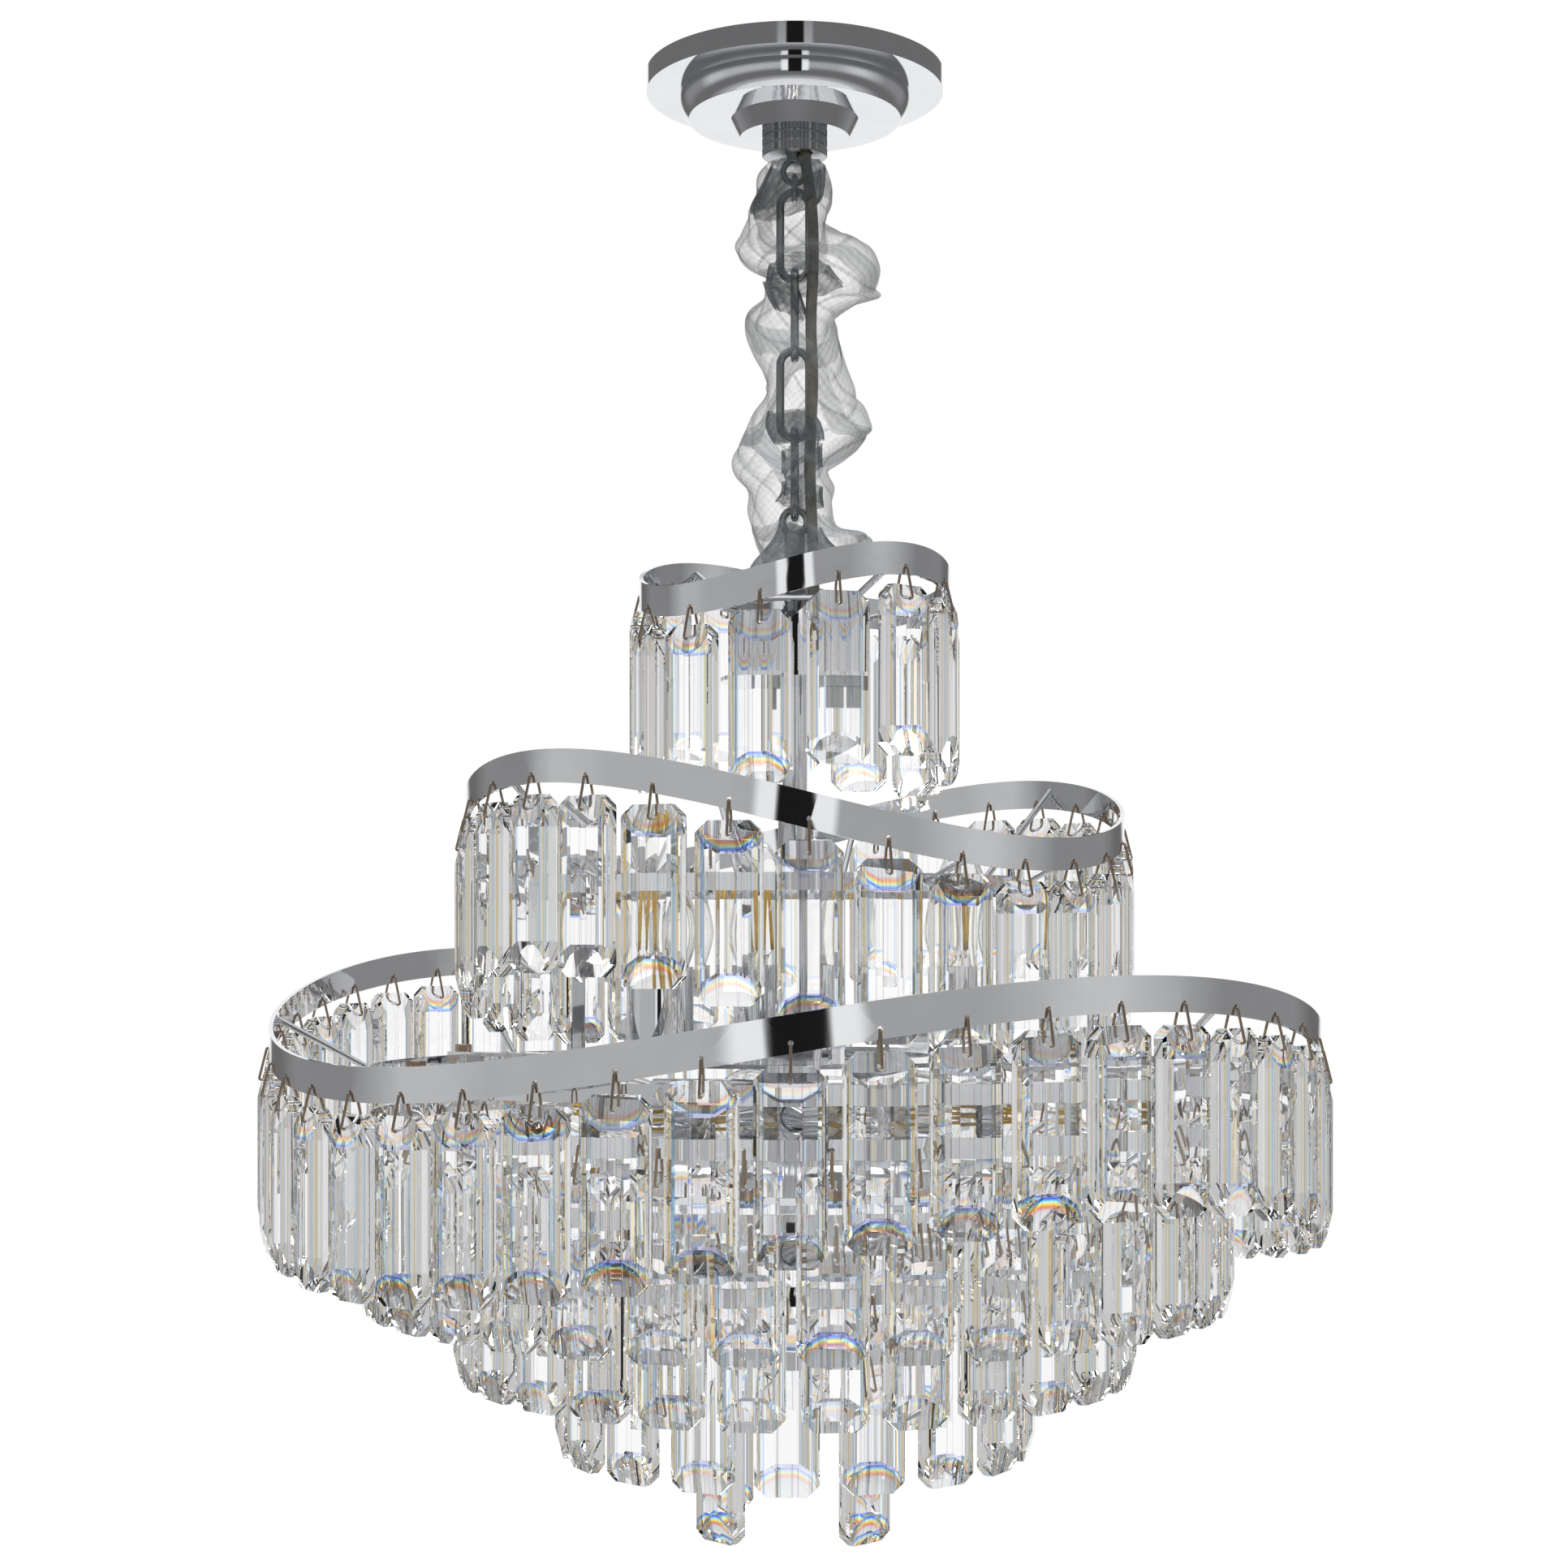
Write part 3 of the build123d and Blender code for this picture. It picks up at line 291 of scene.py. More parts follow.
def solid(name, dark, light, rough, scale=90.0, grain=0.00003):
    """An opaque material, a little uneven in tone, gloss and height."""
    mat, nodes, links, out = material(name)
    shader = nodes.new("ShaderNodeBsdfPrincipled")
    spots = noise(nodes, links, scale, 4.0, 0.6)
    links.new(ramp(nodes, links, spots, [(0.3, dark), (0.7, light)]), shader.inputs["Base Color"])
    links.new(span(nodes, links, spots, rough, rough + 0.12), shader.inputs["Roughness"])
    links.new(bump(nodes, links, spots, grain), shader.inputs["Normal"])
    links.new(shader.outputs[0], out.inputs["Surface"])
    return mat


BRIGHT_CHROME = metal("bright_chrome", (0.80, 0.81, 0.83), 0.015, 0.03)
FRAME_CHROME = metal("frame_chrome", (0.70, 0.71, 0.73), 0.06, 0.07, 0.00003, 60.0)
CHAIN_CHROME = metal("chain_chrome", (0.48, 0.49, 0.50), 0.16, 0.12, 0.00005, 120.0)
ZINC = metal("zinc_steel", (0.55, 0.56, 0.57), 0.28, 0.12, 0.00004, 200.0)
BRASS = metal("antique_brass", (0.44, 0.34, 0.25), 0.24, 0.16, 0.00003, 300.0)
CRYSTAL = crystal_glass()
BULB_GLASS = plain_glass("bulb_glass", (0.985, 0.985, 0.975), 1.47)
CABLE_MAT = solid("cable_sheath", (0.16, 0.15, 0.12), (0.30, 0.28, 0.23), 0.22, 140.0)
cable_shader = CABLE_MAT.node_tree.nodes["Principled BSDF"]
cable_shader.inputs["Coat Weight"].default_value = 0.5
cable_shader.inputs["Coat Roughness"].default_value = 0.12
PLASTIC_MAT = solid("lamp_plastic", (0.74, 0.74, 0.72), (0.82, 0.82, 0.80), 0.42)
FILAMENT = solid("filament_phosphor", (0.82, 0.46, 0.03), (0.98, 0.66, 0.08), 0.5, 900.0)
CAP_MAT = metal("bulb_cap_nickel", (0.66, 0.62, 0.54), 0.18, 0.12, 0.00002, 300.0)
cable_data.materials.append(CABLE_MAT)


THREADS, MOIRE = 520.0, 74.0  # scales of the threads, and of the bands that they make together
THIN, THICK = 0.045, 0.15  # the share of light that one layer stops, between threads and on them
EDGE_ON = 0.62  # what it stops beside that when seen edge-on
TIGHT, TIGHT_GRAIN = 0.56, 0.20  # what a tight gather stops, and how much the threads add


def organza_material():
    """Sheer woven cloth: clear face-on, denser edge-on and where it is gathered or folded double."""
    mat, nodes, links, out = material("organza_weave")
    do = partial(calc, nodes, links)
    shader = nodes.new("ShaderNodeBsdfPrincipled")
    shader.inputs["Base Color"].default_value = (0.165, 0.182, 0.194, 1.0)
    shader.inputs["Roughness"].default_value = 0.42
    shader.inputs["Sheen Weight"].default_value = 0.35
    shader.inputs["Sheen Roughness"].default_value = 0.35
    clear = nodes.new("ShaderNodeBsdfTransparent")
    uv = nodes.new("ShaderNodeUVMap")
    uv.uv_map = "weave"
    waves = []
    for turn, scale in ((0.0, THREADS), (radians(90), THREADS), (radians(38), MOIRE)):
        mapping = nodes.new("ShaderNodeMapping")
        mapping.inputs["Rotation"].default_value = (0, 0, turn)
        links.new(uv.outputs["UV"], mapping.inputs["Vector"])
        wave = nodes.new("ShaderNodeTexWave")
        wave.inputs["Scale"].default_value = scale
        wave.inputs["Distortion"].default_value = 3.0
        wave.inputs["Detail"].default_value = 1.0
        wave.inputs["Detail Scale"].default_value = 0.12
        links.new(mapping.outputs["Vector"], wave.inputs["Vector"])
        waves.append(wave.outputs["Fac"])
    weave = do("MULTIPLY", do("MAXIMUM", waves[0], waves[1]), waves[2])
    facing = nodes.new("ShaderNodeLayerWeight")
    facing.inputs["Blend"].default_value = 0.35
    edge = span(nodes, links, facing.outputs["Facing"], 0.0, EDGE_ON)
    loose = do("ADD", span(nodes, links, weave, THIN, THICK), edge, True)
    layers = nodes.new("ShaderNodeAttribute")
    layers.attribute_name = "gathered"
    gathered = do("MULTIPLY", layers.outputs["Fac"], do("ADD", do("MULTIPLY", weave, TIGHT_GRAIN), TIGHT))
    passed = do("MULTIPLY", do("SUBTRACT", 1.0, loose), do("SUBTRACT", 1.0, gathered))
    mix = nodes.new("ShaderNodeMixShader")
    links.new(do("SUBTRACT", 1.0, passed, True), mix.inputs[0])
    links.new(clear.outputs[0], mix.inputs[1])
    links.new(shader.outputs[0], mix.inputs[2])
    links.new(mix.outputs[0], out.inputs["Surface"])
    return mat


ORGANZA = organza_material()

CHAIN_NODES = ["chain_link_1", "chain_link_2", "chain_link_3", "chain_link_4", "hub_eye", "swivel_ring",
               "hanging_loop", "collar_ring"]
BY_SLOT = {
    "bright_chrome": BRIGHT_CHROME,
    "frame_chrome": FRAME_CHROME,
    "zinc_steel": ZINC,
    "lamp_plastic": PLASTIC_MAT,
    "antique_brass": BRASS,
    "crystal_glass": CRYSTAL,
    "bulb_glass": BULB_GLASS,
    "cable_sheath": CABLE_MAT,
    "organza": ORGANZA,
}
for part in frame["record"]["subparts"]:
    node = frame["nodes"][part["node"]]
    finish = CHAIN_CHROME if part["node"] in CHAIN_NODES else BY_SLOT[part["material_slot"]]
    node.data.materials.clear()
    node.data.materials.append(finish)


# ---------------------------------------------------------------- crystals: the solids' own facets
TIERS = {  # radius, how many bars, the first bar's angle
    "crystals_top": (0.0742, 13, 15.2),
    "crystals_mid": (0.1574, 29, 2.0),
    "crystals_bottom": (0.249, 45, -0.6),
    "crystals_tier_1": (0.204, 36, 4.0),
    "crystals_tier_2": (0.158, 28, 6.0),
    "crystals_tier_3": (0.110, 18, -2.0),
}
TIERS.update({f"drop_crystal_{i + 1}": (0.048, 1, 43.0 + 90.0 * i) for i in range(4)})
METRES_TO_CM = 100


def draw(*numbers):
    """A steady pseudo-random number from 0 to 1."""
    total = sum((i + 1.37) * n for i, n in enumerate(numbers))
    return (sin(total * 12.9898) * 43758.5453) % 1.0


def dressed_crystals(node_name, body):
    """The node's own mesh, where each point also knows its place on its bar and its bar's random numbers."""
    radius, count, first = TIERS[node_name]
    data = frame["nodes"][node_name].data.copy()
    data.name = node_name + "_cut"
    data.materials.clear()
    data.materials.append(CRYSTAL)
    pitch = 360.0 / count
    turn = [round((degrees(atan2(v.co.x, -v.co.y)) - first) / pitch) % count for v in data.vertices]
    lows, highs = {}, {}
    for v, k in zip(data.vertices, turn):
        lows[k] = min(lows.get(k, 9.0), v.co.z)
        highs[k] = max(highs.get(k, -9.0), v.co.z)
    place = data.attributes.new("bar_place", "FLOAT_VECTOR", "POINT")
    chance = data.attributes.new("bar_chance", "FLOAT_VECTOR", "POINT")
    for v, k in zip(data.vertices, turn):
        a = radians(first + k * pitch)
        middle = (lows[k] + highs[k]) / 2
        across = v.co.x * cos(a) + v.co.y * sin(a)
        out = v.co.x * sin(a) - v.co.y * cos(a) - radius
        place.data[v.index].vector = Vector((across, out, v.co.z - middle)) * METRES_TO_CM
        chance.data[v.index].vector = (
            draw(k, radius * 90), draw(k, radius * 50, 3.1), draw(k, radius * 70, 7.7))
    piece = new_object(node_name + "_cut", data)
    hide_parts(node_name)
    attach(piece, body)


for node_name in TIERS:
    dressed_crystals(node_name, "pendant" if node_name.startswith("crystals") else node_name + "_body")


# ---------------------------------------------------------------- turned pieces
def mesh_piece(name, vertices, faces, mat):
    """An object with smooth faces."""
    data = bpy.data.meshes.new(name)
    data.from_pydata([tuple(v) for v in vertices], [], faces)
    data.validate()
    for polygon in data.polygons:
        polygon.use_smooth = True
    data.materials.append(mat)
    return new_object(name, data)


def lathe(profile, count):
    """A surface turned about Z through (radius, height) points; a zero radius closes the end."""
    vertices, faces, rings = [], [], []
    for radius, z in profile:
        if radius == 0.0:
            rings.append([len(vertices)])
            vertices.append((0, 0, z))
            continue
        rings.append(list(range(len(vertices), len(vertices) + count)))
        turns = [2 * pi * i / count for i in range(count)]
        vertices += [(radius * cos(turn), radius * sin(turn), z) for turn in turns]
    for low, high in zip(rings, rings[1:]):
        for i in range(count):
            j = (i + 1) % count
            if len(low) == 1:
                faces.append((low[0], high[j], high[i]))
            elif len(high) == 1:
                faces.append((low[i], low[j], high[0]))
            else:
                faces.append((low[i], low[j], high[j], high[i]))
    return vertices, faces


def catmull_rom(p, q, r, s, t):
    """The curve from q, at t = 0, to r, at t = 1, with p before and s after them."""
    return 0.5 * (2 * q + (r - p) * t + (2 * p - 5 * q + 4 * r - s) * t * t + (3 * q - p - 3 * r + s) * t**3)


def smooth_profile(points, steps):
    """A smooth curve through (radius, height) points."""
    out = []
    padded = [points[0]] + points + [points[-1]]
    for four in zip(padded, padded[1:], padded[2:], padded[3:]):
        for i in range(steps):
            out.append(tuple(catmull_rom(*numbers, i / steps) for numbers in zip(*four)))
    out.append(points[-1])
    return [(max(r, 0.0), z) for r, z in out]


# the candle bulb's glass: radius in millimetres, and height as a share of the whole
GLASS_POINTS = [(8.6, 0.0), (10.4, 0.08), (13.9, 0.18), (17.3, 0.34), (16.8, 0.46), (14.3, 0.60),
                (11.4, 0.72), (9.1, 0.80), (6.7, 0.88), (4.7, 0.945), (2.6, 0.985), (0.0, 1.0)]
glass_outer = smooth_profile(
    [(r / 1000, GLASS_BOTTOM + t * (GLASS_TOP - GLASS_BOTTOM)) for r, t in GLASS_POINTS], 4)
WALL = 0.0008
last_point = len(glass_outer) - 1
glass_inner = [(max(r - WALL, 0.0), z - WALL * i / last_point) for i, (r, z) in enumerate(glass_outer)]
inner_tip = next(i for i, (r, z) in enumerate(glass_inner) if r == 0.0)
glass_inner = glass_inner[:inner_tip] + [(0.0, min(glass_inner[inner_tip][1], GLASS_TOP - WALL))]
GLASS_MESH = lathe(glass_inner[::-1] + glass_outer, 48)

# the cap: a contact, a dished end, its thread and a collar under the glass
THREAD_TURNS, THREAD_START, THREAD_PITCH = 6, CAP_BOTTOM + 0.0035, 0.0026
THREAD_ROOT, THREAD_CREST = 0.0063, 0.00695
thread = []
for i in range(THREAD_TURNS):
    z = THREAD_START + i * THREAD_PITCH
    thread += [(THREAD_ROOT, z), (THREAD_CREST, z + 0.0008),
               (THREAD_CREST, z + 0.0013), (THREAD_ROOT, z + 0.0021)]
CAP_PROFILE = [(0.0, CAP_BOTTOM - 0.0025), (0.0020, CAP_BOTTOM - 0.0025), (0.0024, CAP_BOTTOM - 0.0012),
               (0.0030, CAP_BOTTOM), (0.0050, CAP_BOTTOM + 0.0008), (0.0062, CAP_BOTTOM + 0.0028)]
CAP_PROFILE += thread + [(0.0066, GLASS_BOTTOM - 0.0048), (0.0070, GLASS_BOTTOM - 0.0036),
                         (0.0083, GLASS_BOTTOM - 0.0016), (0.0086, GLASS_BOTTOM + 0.0002),
                         (0.0084, GLASS_BOTTOM + 0.0003), (0.0, GLASS_BOTTOM + 0.0003)]
CAP_MESH = lathe(CAP_PROFILE, 40)
# the glass stem that carries the filaments
STEM_TOP = GLASS_BOTTOM + 0.017
STEM_MESH = lathe([(0.0, GLASS_BOTTOM + 0.0004), (0.0052, GLASS_BOTTOM + 0.0004),
                   (0.0040, GLASS_BOTTOM + 0.004), (0.0024, GLASS_BOTTOM + 0.009),
                   (0.0021, STEM_TOP - 0.003), (0.0030, STEM_TOP - 0.001),
                   (0.0030, STEM_TOP), (0.0, STEM_TOP + 0.0002)], 24)

OFF_AXIS = Vector((0.31, 0.17, 0.93))  # a direction that no wire runs in


def tube_mesh(points, radius, sides):
    """A closed round tube along points."""
    vertices, faces = [], []
    for i, p in enumerate(points):
        a = points[max(i - 1, 0)]
        b = points[min(i + 1, len(points) - 1)]
        along = (Vector(b) - Vector(a)).normalized()
        side = along.cross(OFF_AXIS).normalized()
        up = along.cross(side).normalized()
        for k in range(sides):
            turn = 2 * pi * k / sides
            vertices.append(tuple(Vector(p) + radius * (cos(turn) * side + sin(turn) * up)))
    rows = len(points)
    for i in range(rows - 1):
        for k in range(sides):
            n = (k + 1) % sides
            faces.append((i * sides + k, i * sides + n, (i + 1) * sides + n, (i + 1) * sides + k))
    faces.append(tuple(range(sides))[::-1])
    faces.append(tuple((rows - 1) * sides + k for k in range(sides)))
    return vertices, faces


def joined(meshes):
    """Several (vertices, faces) as one."""
    vertices, faces = [], []
    for v, f in meshes:
        base = len(vertices)
        vertices += list(v)
        faces += [tuple(i + base for i in face) for face in f]
    return vertices, faces


# the cable's start, which stays in the knurled disc's hole when the chain swings
CABLE_JOIN, CABLE_HIDDEN = 0.0006, 0.004  # how far it runs on down the cable, and up inside the disc
first, second = Vector(CABLE_ROUTE[0]), Vector(CABLE_ROUTE[1])
start_points = [first + (second - first).normalized() * CABLE_JOIN, first,
                Vector((first.x, first.y, DISC_BOTTOM + CABLE_HIDDEN))]
vertices, faces = tube_mesh(start_points, CABLE_R, 24)
cable_start = mesh_piece("supply_cable_start", vertices, faces, CABLE_MAT)
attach(cable_start, "ceiling_fixing")



def polar(radius, turn, z):
    """The point at a radius and a turn in radians about Z."""
    return Vector((radius * cos(turn), radius * sin(turn), z))


# four filaments that lean together and twist upwards, with a wire at each end
FILAMENT_TOP = STEM_TOP + 0.038
FILAMENT_R, WIRE_R, TWIST = 0.00085, 0.00022, 0.5
rods, wires = [], []
for i in range(4):
    turn = radians(90 * i)
    foot = polar(0.0046, turn, STEM_TOP + 0.0025)
    head = polar(0.0030, turn + TWIST, FILAMENT_TOP - 0.002)
    rods.append(tube_mesh([foot.lerp(head, t / 6) for t in range(7)], FILAMENT_R, 10))
    stem_side = polar(0.0016, turn, STEM_TOP - 0.001)
    elbow = polar(0.0040, turn, STEM_TOP + 0.0010)
    wires.append(tube_mesh([stem_side, elbow, foot], WIRE_R, 6))
    wires.append(tube_mesh([head, Vector((0, 0, FILAMENT_TOP))], WIRE_R, 6))
FILAMENT_MESH = joined(rods)
WIRE_MESH = joined(wires)

# ---------------------------------------------------------------- bulbs
# three upright cups and six level ones: radius, first angle and height of their feet
UPRIGHT_CUPS = (0.083, -49, -0.4753)
LEVEL_CUPS = (0.028, 15, -0.503)
radius, first_angle, foot_z = UPRIGHT_CUPS
cups = [Matrix.Translation(at(radius, first_angle + 120 * i, foot_z)) for i in range(3)]
radius, first_angle, foot_z = LEVEL_CUPS
for i in range(6):
    outwards = at(1, first_angle + 60 * i, 0)
    turn = Matrix((UP, outwards.cross(UP), outwards)).transposed().to_4x4()
    cups.append(Matrix.Translation(at(radius, first_angle + 60 * i, foot_z)) @ turn)


def placed(name, mesh, mat, matrix, body):
    """A copy of mesh set into a cup, riding on its bulb's body."""
    vertices, faces = mesh
    piece = mesh_piece(name, [matrix @ Vector(v) for v in vertices], faces, mat)
    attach(piece, body)
    return piece


for number, matrix in enumerate(cups, 1):
    body = f"bulb_{number}_body"
    glass = placed(f"bulb_{number}_glass", GLASS_MESH, BULB_GLASS, matrix, body)
    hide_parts(f"bulb_{number}")
    placed(f"bulb_{number}_cap", CAP_MESH, CAP_MAT, matrix, body)
    placed(f"bulb_{number}_stem", STEM_MESH, BULB_GLASS, matrix, body)
    placed(f"bulb_{number}_filaments", FILAMENT_MESH, FILAMENT, matrix, body)
    placed(f"bulb_{number}_wires", WIRE_MESH, CAP_MAT, matrix, body)

# ---------------------------------------------------------------- organza sleeve
# the billows down the sleeve: height, then the reach to the left, right, front and back, in millimetres
BILLOWS = [
    (-44.6, 13.6, 14.4, 14.4, 13.0),
    (-50.0, 18.3, 16.9, 17.0, 16.0),
    (-58.0, 19.1, 17.9, 16.0, 21.0),
    (-65.0, 21.4, 17.0, 14.5, 24.0),
    (-72.5, 22.5, 14.0, 15.5, 25.0),
    (-78.5, 25.5, 22.0, 19.0, 20.0),
    (-85.3, 28.2, 36.0, 24.0, 15.0),
    (-92.5, 22.8, 39.7, 29.0, 15.0),
    (-97.5, 14.5, 40.0, 28.0, 17.0),
    (-103.0, 13.8, 38.5, 21.0, 23.0),
    (-110.0, 15.0, 31.8, 15.5, 28.0),
    (-118.5, 22.8, 19.3, 15.5, 27.0),
    (-125.8, 23.4, 20.7, 19.5, 20.0),
    (-137.2, 19.4, 23.9, 25.0, 16.0),
    (-147.5, 13.6, 26.5, 26.0, 16.5),
    (-154.1, 13.0, 31.1, 22.0, 21.0),
    (-162.5, 18.7, 35.0, 17.0, 26.0),
    (-172.2, 22.6, 36.9, 15.5, 27.0),
    (-178.5, 26.5, 34.7, 16.0, 24.0),
    (-185.2, 28.7, 24.8, 19.0, 18.5),
    (-192.3, 28.0, 15.7, 23.0, 15.5),
    (-200.0, 22.6, 18.5, 24.0, 15.5),
    (-208.8, 22.2, 18.1, 21.0, 17.0),
    (-218.6, 20.7, 20.6, 18.0, 20.0),
    (-223.5, 20.1, 30.4, 19.0, 24.0),
    (-227.7, 18.7, 36.4, 21.0, 25.0),
    (-233.0, 16.6, 31.0, 20.0, 22.0),
    (-240.0, 15.0, 24.0, 18.0, 19.0),
]
CORE = 13.2  # the chain and the cable fit inside this radius, in millimetres
FLAT_WIDTH = 0.19  # metres, as the flat cloth lies
WEAVE_LENGTH, GATHER_WIDTH, GATHER_LENGTH = 0.42, 0.09, 0.03  # metres of weave that run over the surfaces
MM = 0.001


def along_table(table, t, column):
    """A smooth curve through a column of the table, t running from 0 to 1 down its rows."""
    place = t * (len(table) - 1)
    i = min(int(place), len(table) - 2)
    four = (table[min(max(i + n, 0), len(table) - 1)][column] for n in (-1, 0, 1, 2))
    return catmull_rom(*four, place - i)


def billow_surface(rows, columns):
    """A wide tube of cloth whose billows wind round the chain, with creases that fan out from each tuck."""
    vertices, uvs, layers = [], [], []
    for i in range(rows + 1):
        t = i / rows
        height = along_table(BILLOWS, t, 0)
        left, right, front, rear = (along_table(BILLOWS, t, c) for c in (1, 2, 3, 4))
        calm = min(1.0, t / 0.08, (1 - t) / 0.05)
        for j in range(columns):
            a = 2 * pi * j / columns  # 0 at the front, growing to the right
            sideways = right if sin(a) > 0 else left
            endways = front if cos(a) > 0 else rear
            reach = sideways * sin(a) ** 2 + endways * cos(a) ** 2
            loose = max(reach - CORE, 0.0)
            wind = 3 * a + 30.0 * t
            tuck = abs(sin(wind + 0.9 * sin(a + 11.0 * t)))
            crease = tuck**0.7 - 0.6
            ripple = sin(7 * a - 52.0 * t + 1.3 * sin(2 * a)) * 0.6 + 0.4 * sin(11 * a + 71.0 * t)
            r = reach + calm * (0.16 * loose * crease + (0.25 + 0.05 * loose) * ripple)
            r = CORE + abs(r - CORE) if r < CORE else r
            droop = 0.20 * loose * sin(a * 2 + 26.0 * t) + 0.6 * ripple
            z = height + calm * droop - calm * 0.10 * loose
            z = max(min(z, BILLOWS[0][0]), BILLOWS[-1][0])
            vertices.append((r * sin(a) * MM, -r * cos(a) * MM, z * MM))
            uvs.append((j / columns * FLAT_WIDTH, t * WEAVE_LENGTH))
            line = max(0.0, 1.0 - tuck / 0.16)
            double = sin(2 * a - 23.0 * t + 0.9 * sin(2 * a + 9.0 * t) + 0.7) - 0.80
            layers.append(max(0.85 * line, 0.62 * min(1.0, max(0.0, double) * 30.0)))
    return vertices, uvs, layers


# tight gathers next to the chain, from the top down: height, middle x and y, half width and half depth
GATHERS = [
    [(-44.4, 1.4, -1.6, 12.6, 12.6), (-50.0, 0.3, -2.0, 14.0, 13.2), (-57.0, -1.5, -2.5, 15.5, 13.0),
     (-63.5, -4.0, -2.0, 16.5, 13.0), (-67.0, -6.0, -1.5, 14.5, 12.0)],
    [(-93.5, 2.0, -2.0, 13.5, 12.5), (-98.0, 3.0, -2.0, 16.0, 12.5), (-102.5, 5.0, -2.0, 18.5, 12.5)],
    [(-102.5, -6.5, -1.0, 8.0, 11.5), (-110.0, -4.0, -1.0, 8.0, 11.5), (-116.0, -1.5, -1.0, 7.5, 11.5)],
    [(-163.5, -3.0, -1.5, 10.0, 11.5), (-169.0, -1.5, -1.5, 12.5, 11.5), (-174.5, 0.5, -1.5, 12.5, 11.5),
     (-178.5, 2.0, -1.5, 11.5, 11.5)],
    [(-181.5, 3.5, -1.5, 9.5, 11.8), (-187.0, 3.5, -1.5, 9.0, 11.8), (-193.0, 3.5, -1.5, 9.0, 11.8)],
    [(-199.5, 3.5, -1.5, 9.3, 11.8), (-204.5, 3.5, -1.5, 9.8, 11.8), (-208.5, 2.5, -1.5, 11.0, 11.8)],
    [(-219.0, 3.0, -1.5, 9.6, 11.8), (-225.0, 3.5, -1.5, 12.5, 13.0), (-231.0, 4.0, -1.5, 18.0, 16.0),
     (-236.5, 4.5, -1.5, 24.0, 19.0), (-240.0, 4.0, -1.5, 26.0, 20.0)],
]


def gather_surface(table, rows, columns, turn):
    """A tight gather with slanting ends that fade into the loose cloth."""
    vertices, uvs, layers = [], [], []
    first, last = table is GATHERS[0], table is GATHERS[-1]
    for i in range(rows + 1):
        t = i / rows
        height, x0, y0, wide, deep = (along_table(table, t, c) for c in range(5))
        for j in range(columns):
            a = 2 * pi * j / columns
            pleats = sin(9 * a + turn + 1.5 * t)
            pleat = 0.75 * pleats + 0.45 * sin(16 * a - turn - 1.0 * t)
            slant = (2.6 * sin(a + turn) + 0.8 * sin(3 * a + turn)) * (t if first else 1 - t if last else 1.0)
            x = x0 + (wide + pleat) * sin(a)
            y = y0 - (deep + pleat) * cos(a)
            vertices.append((x * MM, y * MM, min(height + slant, BILLOWS[0][0]) * MM))
            uvs.append((j / columns * GATHER_WIDTH, t * GATHER_LENGTH + 0.5))
            start = 1.0 if first else min(1.0, 0.5 + t / 0.2)
            end = 1.0 if last else min(1.0, 0.5 + (1 - t) / 0.2)
            layers.append(start * end * (0.84 + 0.16 * pleats))
    return vertices, uvs, layers


def tube_faces(base, rows, columns):
    """The faces of rows + 1 rings of points, the first point being number base."""
    faces = []
    for i in range(rows):
        for j in range(columns):
            n = (j + 1) % columns
            low, high = base + i * columns, base + (i + 1) * columns
            faces.append((low + j, high + j, high + n, low + n))
    return faces


BILLOW_GRID, GATHER_GRID = (300, 168), (24, 96)  # rows and columns of faces


def organza_sleeve():
    """The loose cloth and its tight gathers as one piece."""
    vertices, uvs, layers = billow_surface(*BILLOW_GRID)
    faces = tube_faces(0, *BILLOW_GRID)
    for number, table in enumerate(GATHERS):
        more, more_uvs, more_layers = gather_surface(table, *GATHER_GRID, 1.7 * number)
        faces += tube_faces(len(vertices), *GATHER_GRID)
        vertices += more
        uvs += more_uvs
        layers += more_layers
    cloth = mesh_piece("organza_cloth", vertices, faces, ORGANZA)
    cloth.data.attributes.new("gathered", "FLOAT", "POINT").data.foreach_set("value", layers)
    layer = cloth.data.uv_layers.new(name="weave")
    for loop in cloth.data.loops:
        layer.data[loop.index].uv = uvs[loop.vertex_index]
    return cloth


sleeve = organza_sleeve()
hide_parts("organza_sleeve")
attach(sleeve, "pendant")

# ---------------------------------------------------------------- floor, light and surroundings
FLOOR_R, FLOOR_Z = 2.2, -2.4
bpy.ops.mesh.primitive_circle_add(vertices=96, radius=FLOOR_R, fill_type="NGON", location=(0, 0, FLOOR_Z))
floor = bpy.context.object
floor.name = "floor"
floor.data.materials.append(solid("floor_paper", (0.74, 0.74, 0.745), (0.76, 0.76, 0.765), 0.7, 3.0, 0.0))

# a soft light overhead, facing down
LIGHT_SIDE, LIGHT_Z, LIGHT_WATTS = 2.6, 1.8, 150.0
light = bpy.data.lights.new("overhead_softbox", "AREA")
light.shape = "RECTANGLE"
light.size = light.size_y = LIGHT_SIDE
light.energy = LIGHT_WATTS
softbox = new_object("overhead_softbox", light)
softbox.location = (0, 0, LIGHT_Z)
softbox.rotation_euler = Vector((0, 0, -1)).to_track_quat("-Z", "Y").to_euler()
softbox.visible_camera = False
softbox.visible_glossy = False

world = bpy.data.worlds.new("studio")
scene.world = world
world.use_nodes = True
wn, wl = world.node_tree.nodes, world.node_tree.links
wn.clear()
do, times, blend = partial(calc, wn, wl), partial(calc, wn, wl, "MULTIPLY"), partial(mixed, wn, wl, "FLOAT")


def step(x, low, high):
    """A smooth step from 0 where x is low to 1 where it is high."""
    node = wn.new("ShaderNodeMapRange")
    node.interpolation_type = "SMOOTHSTEP"
    wl.new(x, node.inputs["Value"])
    node.inputs["From Min"].default_value = low
    node.inputs["From Max"].default_value = high
    return node.outputs[0]


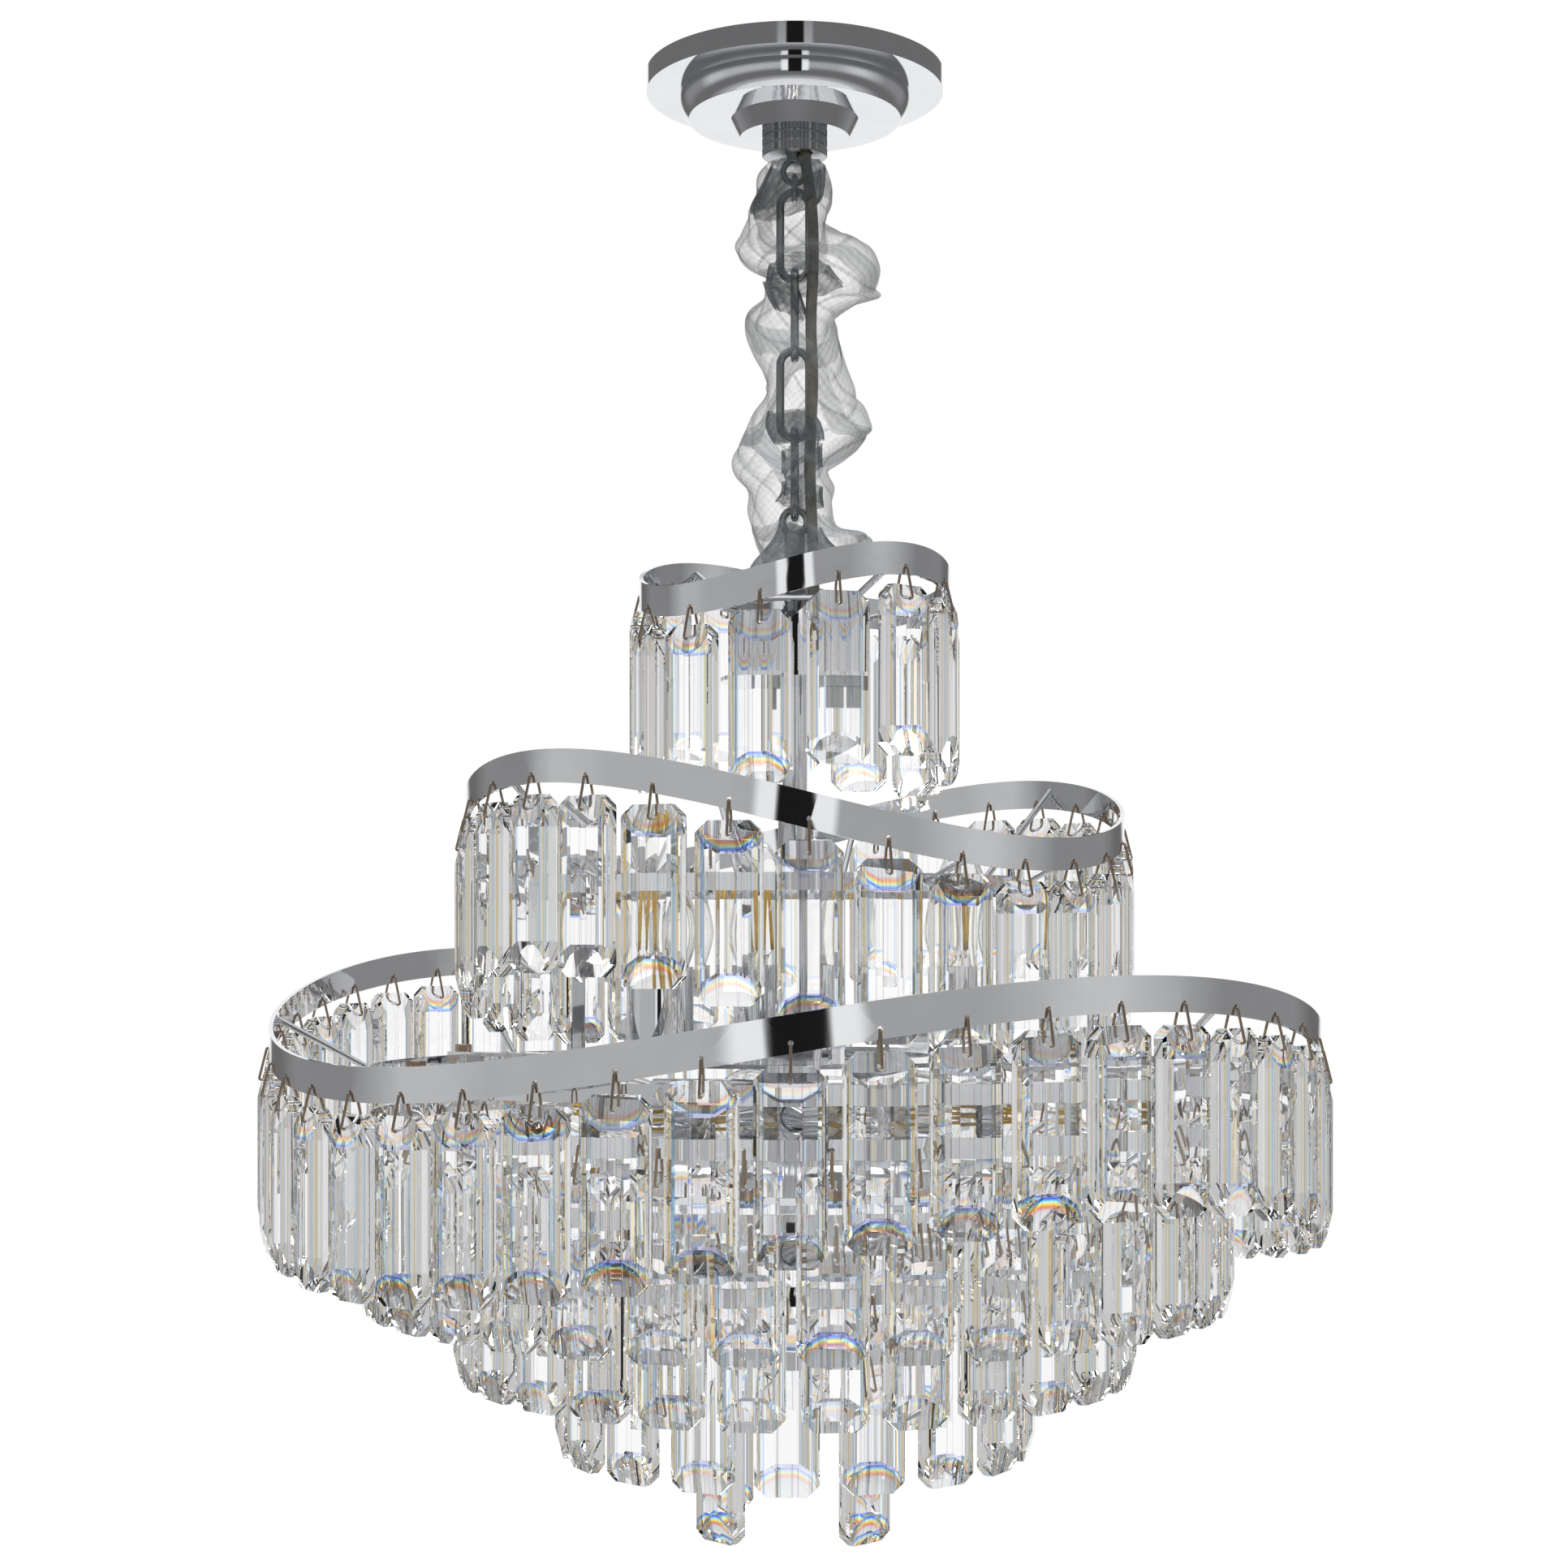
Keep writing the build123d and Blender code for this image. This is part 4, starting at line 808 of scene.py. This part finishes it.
direction = wn.new("ShaderNodeTexCoord").outputs["Generated"]
parts = wn.new("ShaderNodeSeparateXYZ")
wl.new(direction, parts.inputs[0])
x, y, z = parts.outputs
bearing = do("ARCTAN2", x, times(y, -1.0))  # 0 towards the front, growing to the right
off_front = do("ABSOLUTE", bearing)
height = do("ABSOLUTE", z)  # how far from eye level, 0 to 1
# what stands round the lamp at eye level: the bearings of its two edges in degrees, and how bright it is
STUDIO = [
    (-180, -161, 1.0),  # white backdrop behind the lamp
    (-155, -146, 0.16),  # its dark edge
    (-132, -106, 0.28),  # dim left side
    (-90, -78, 0.59),  # soft panel on the left
    (-66, -24, 0.51),  # pale wall in front, on the left
    (17, 40, 0.43),  # pale wall in front, on the right
    (62, 70, 0.65),  # soft panel on the right
    (100, 132, 0.28),  # dim right side
    (146, 155, 0.16),  # the backdrop's other edge
    (161, 180, 1.0),  # and the backdrop again
]
whole_turn = do("ADD", do("DIVIDE", bearing, 2 * pi), 0.5)
edges = [(edge / 360 + 0.5, (bright,) * 3) for begin, end, bright in STUDIO for edge in (begin, end)]
level = ramp(wn, wl, whole_turn, edges)
# darker above and below eye level and pale towards the floor, but not in the white backdrop; light overhead
WHITE_LIGHT, DARK_LIGHT = 1.0, 0.012
OFF_LEVEL, NEAR_FLOOR, OVERHEAD, ROUND_OVERHEAD = 0.17, 0.60, 0.9, 0.30
front = step(off_front, radians(161.0), radians(157.0))
level = blend(times(step(height, 0.06, 0.34), front), level, OFF_LEVEL)
level = blend(times(step(z, -0.50, -0.80), front), level, NEAR_FLOOR)
level = blend(step(z, 0.66, 0.86), level, OVERHEAD)
level = blend(times(step(z, 0.40, 0.52), step(z, 0.70, 0.62)), level, ROUND_OVERHEAD)
# bright panels beside the camera, a dark strip between them
beside = times(step(off_front, radians(6.0), radians(7.5)), step(off_front, radians(15.0), radians(11.5)))
level = blend(times(beside, step(height, 0.36, 0.28)), level, WHITE_LIGHT)
strip = times(step(off_front, radians(7.5), radians(5.5)), step(height, 0.42, 0.36))
level = blend(strip, level, DARK_LIGHT)
# brighter through the glass, and plain white straight behind the lamp
SEEN_THROUGH = 0.42
path = wn.new("ShaderNodeLightPath")
level = blend(times(path.outputs["Is Transmission Ray"], SEEN_THROUGH), level, WHITE_LIGHT)
level = blend(path.outputs["Is Camera Ray"], level, WHITE_LIGHT)
back = wn.new("ShaderNodeBackground")
wl.new(level, back.inputs["Color"])
world_out = wn.new("ShaderNodeOutputWorld")
wl.new(back.outputs[0], world_out.inputs["Surface"])

scene.view_settings.view_transform = "Standard"
scene.view_settings.look = "None"
GLASS_BOUNCES = 24
scene.cycles.max_bounces = GLASS_BOUNCES
scene.cycles.transmission_bounces = GLASS_BOUNCES
scene.cycles.transparent_max_bounces = GLASS_BOUNCES
scene.cycles.glossy_bounces = 8
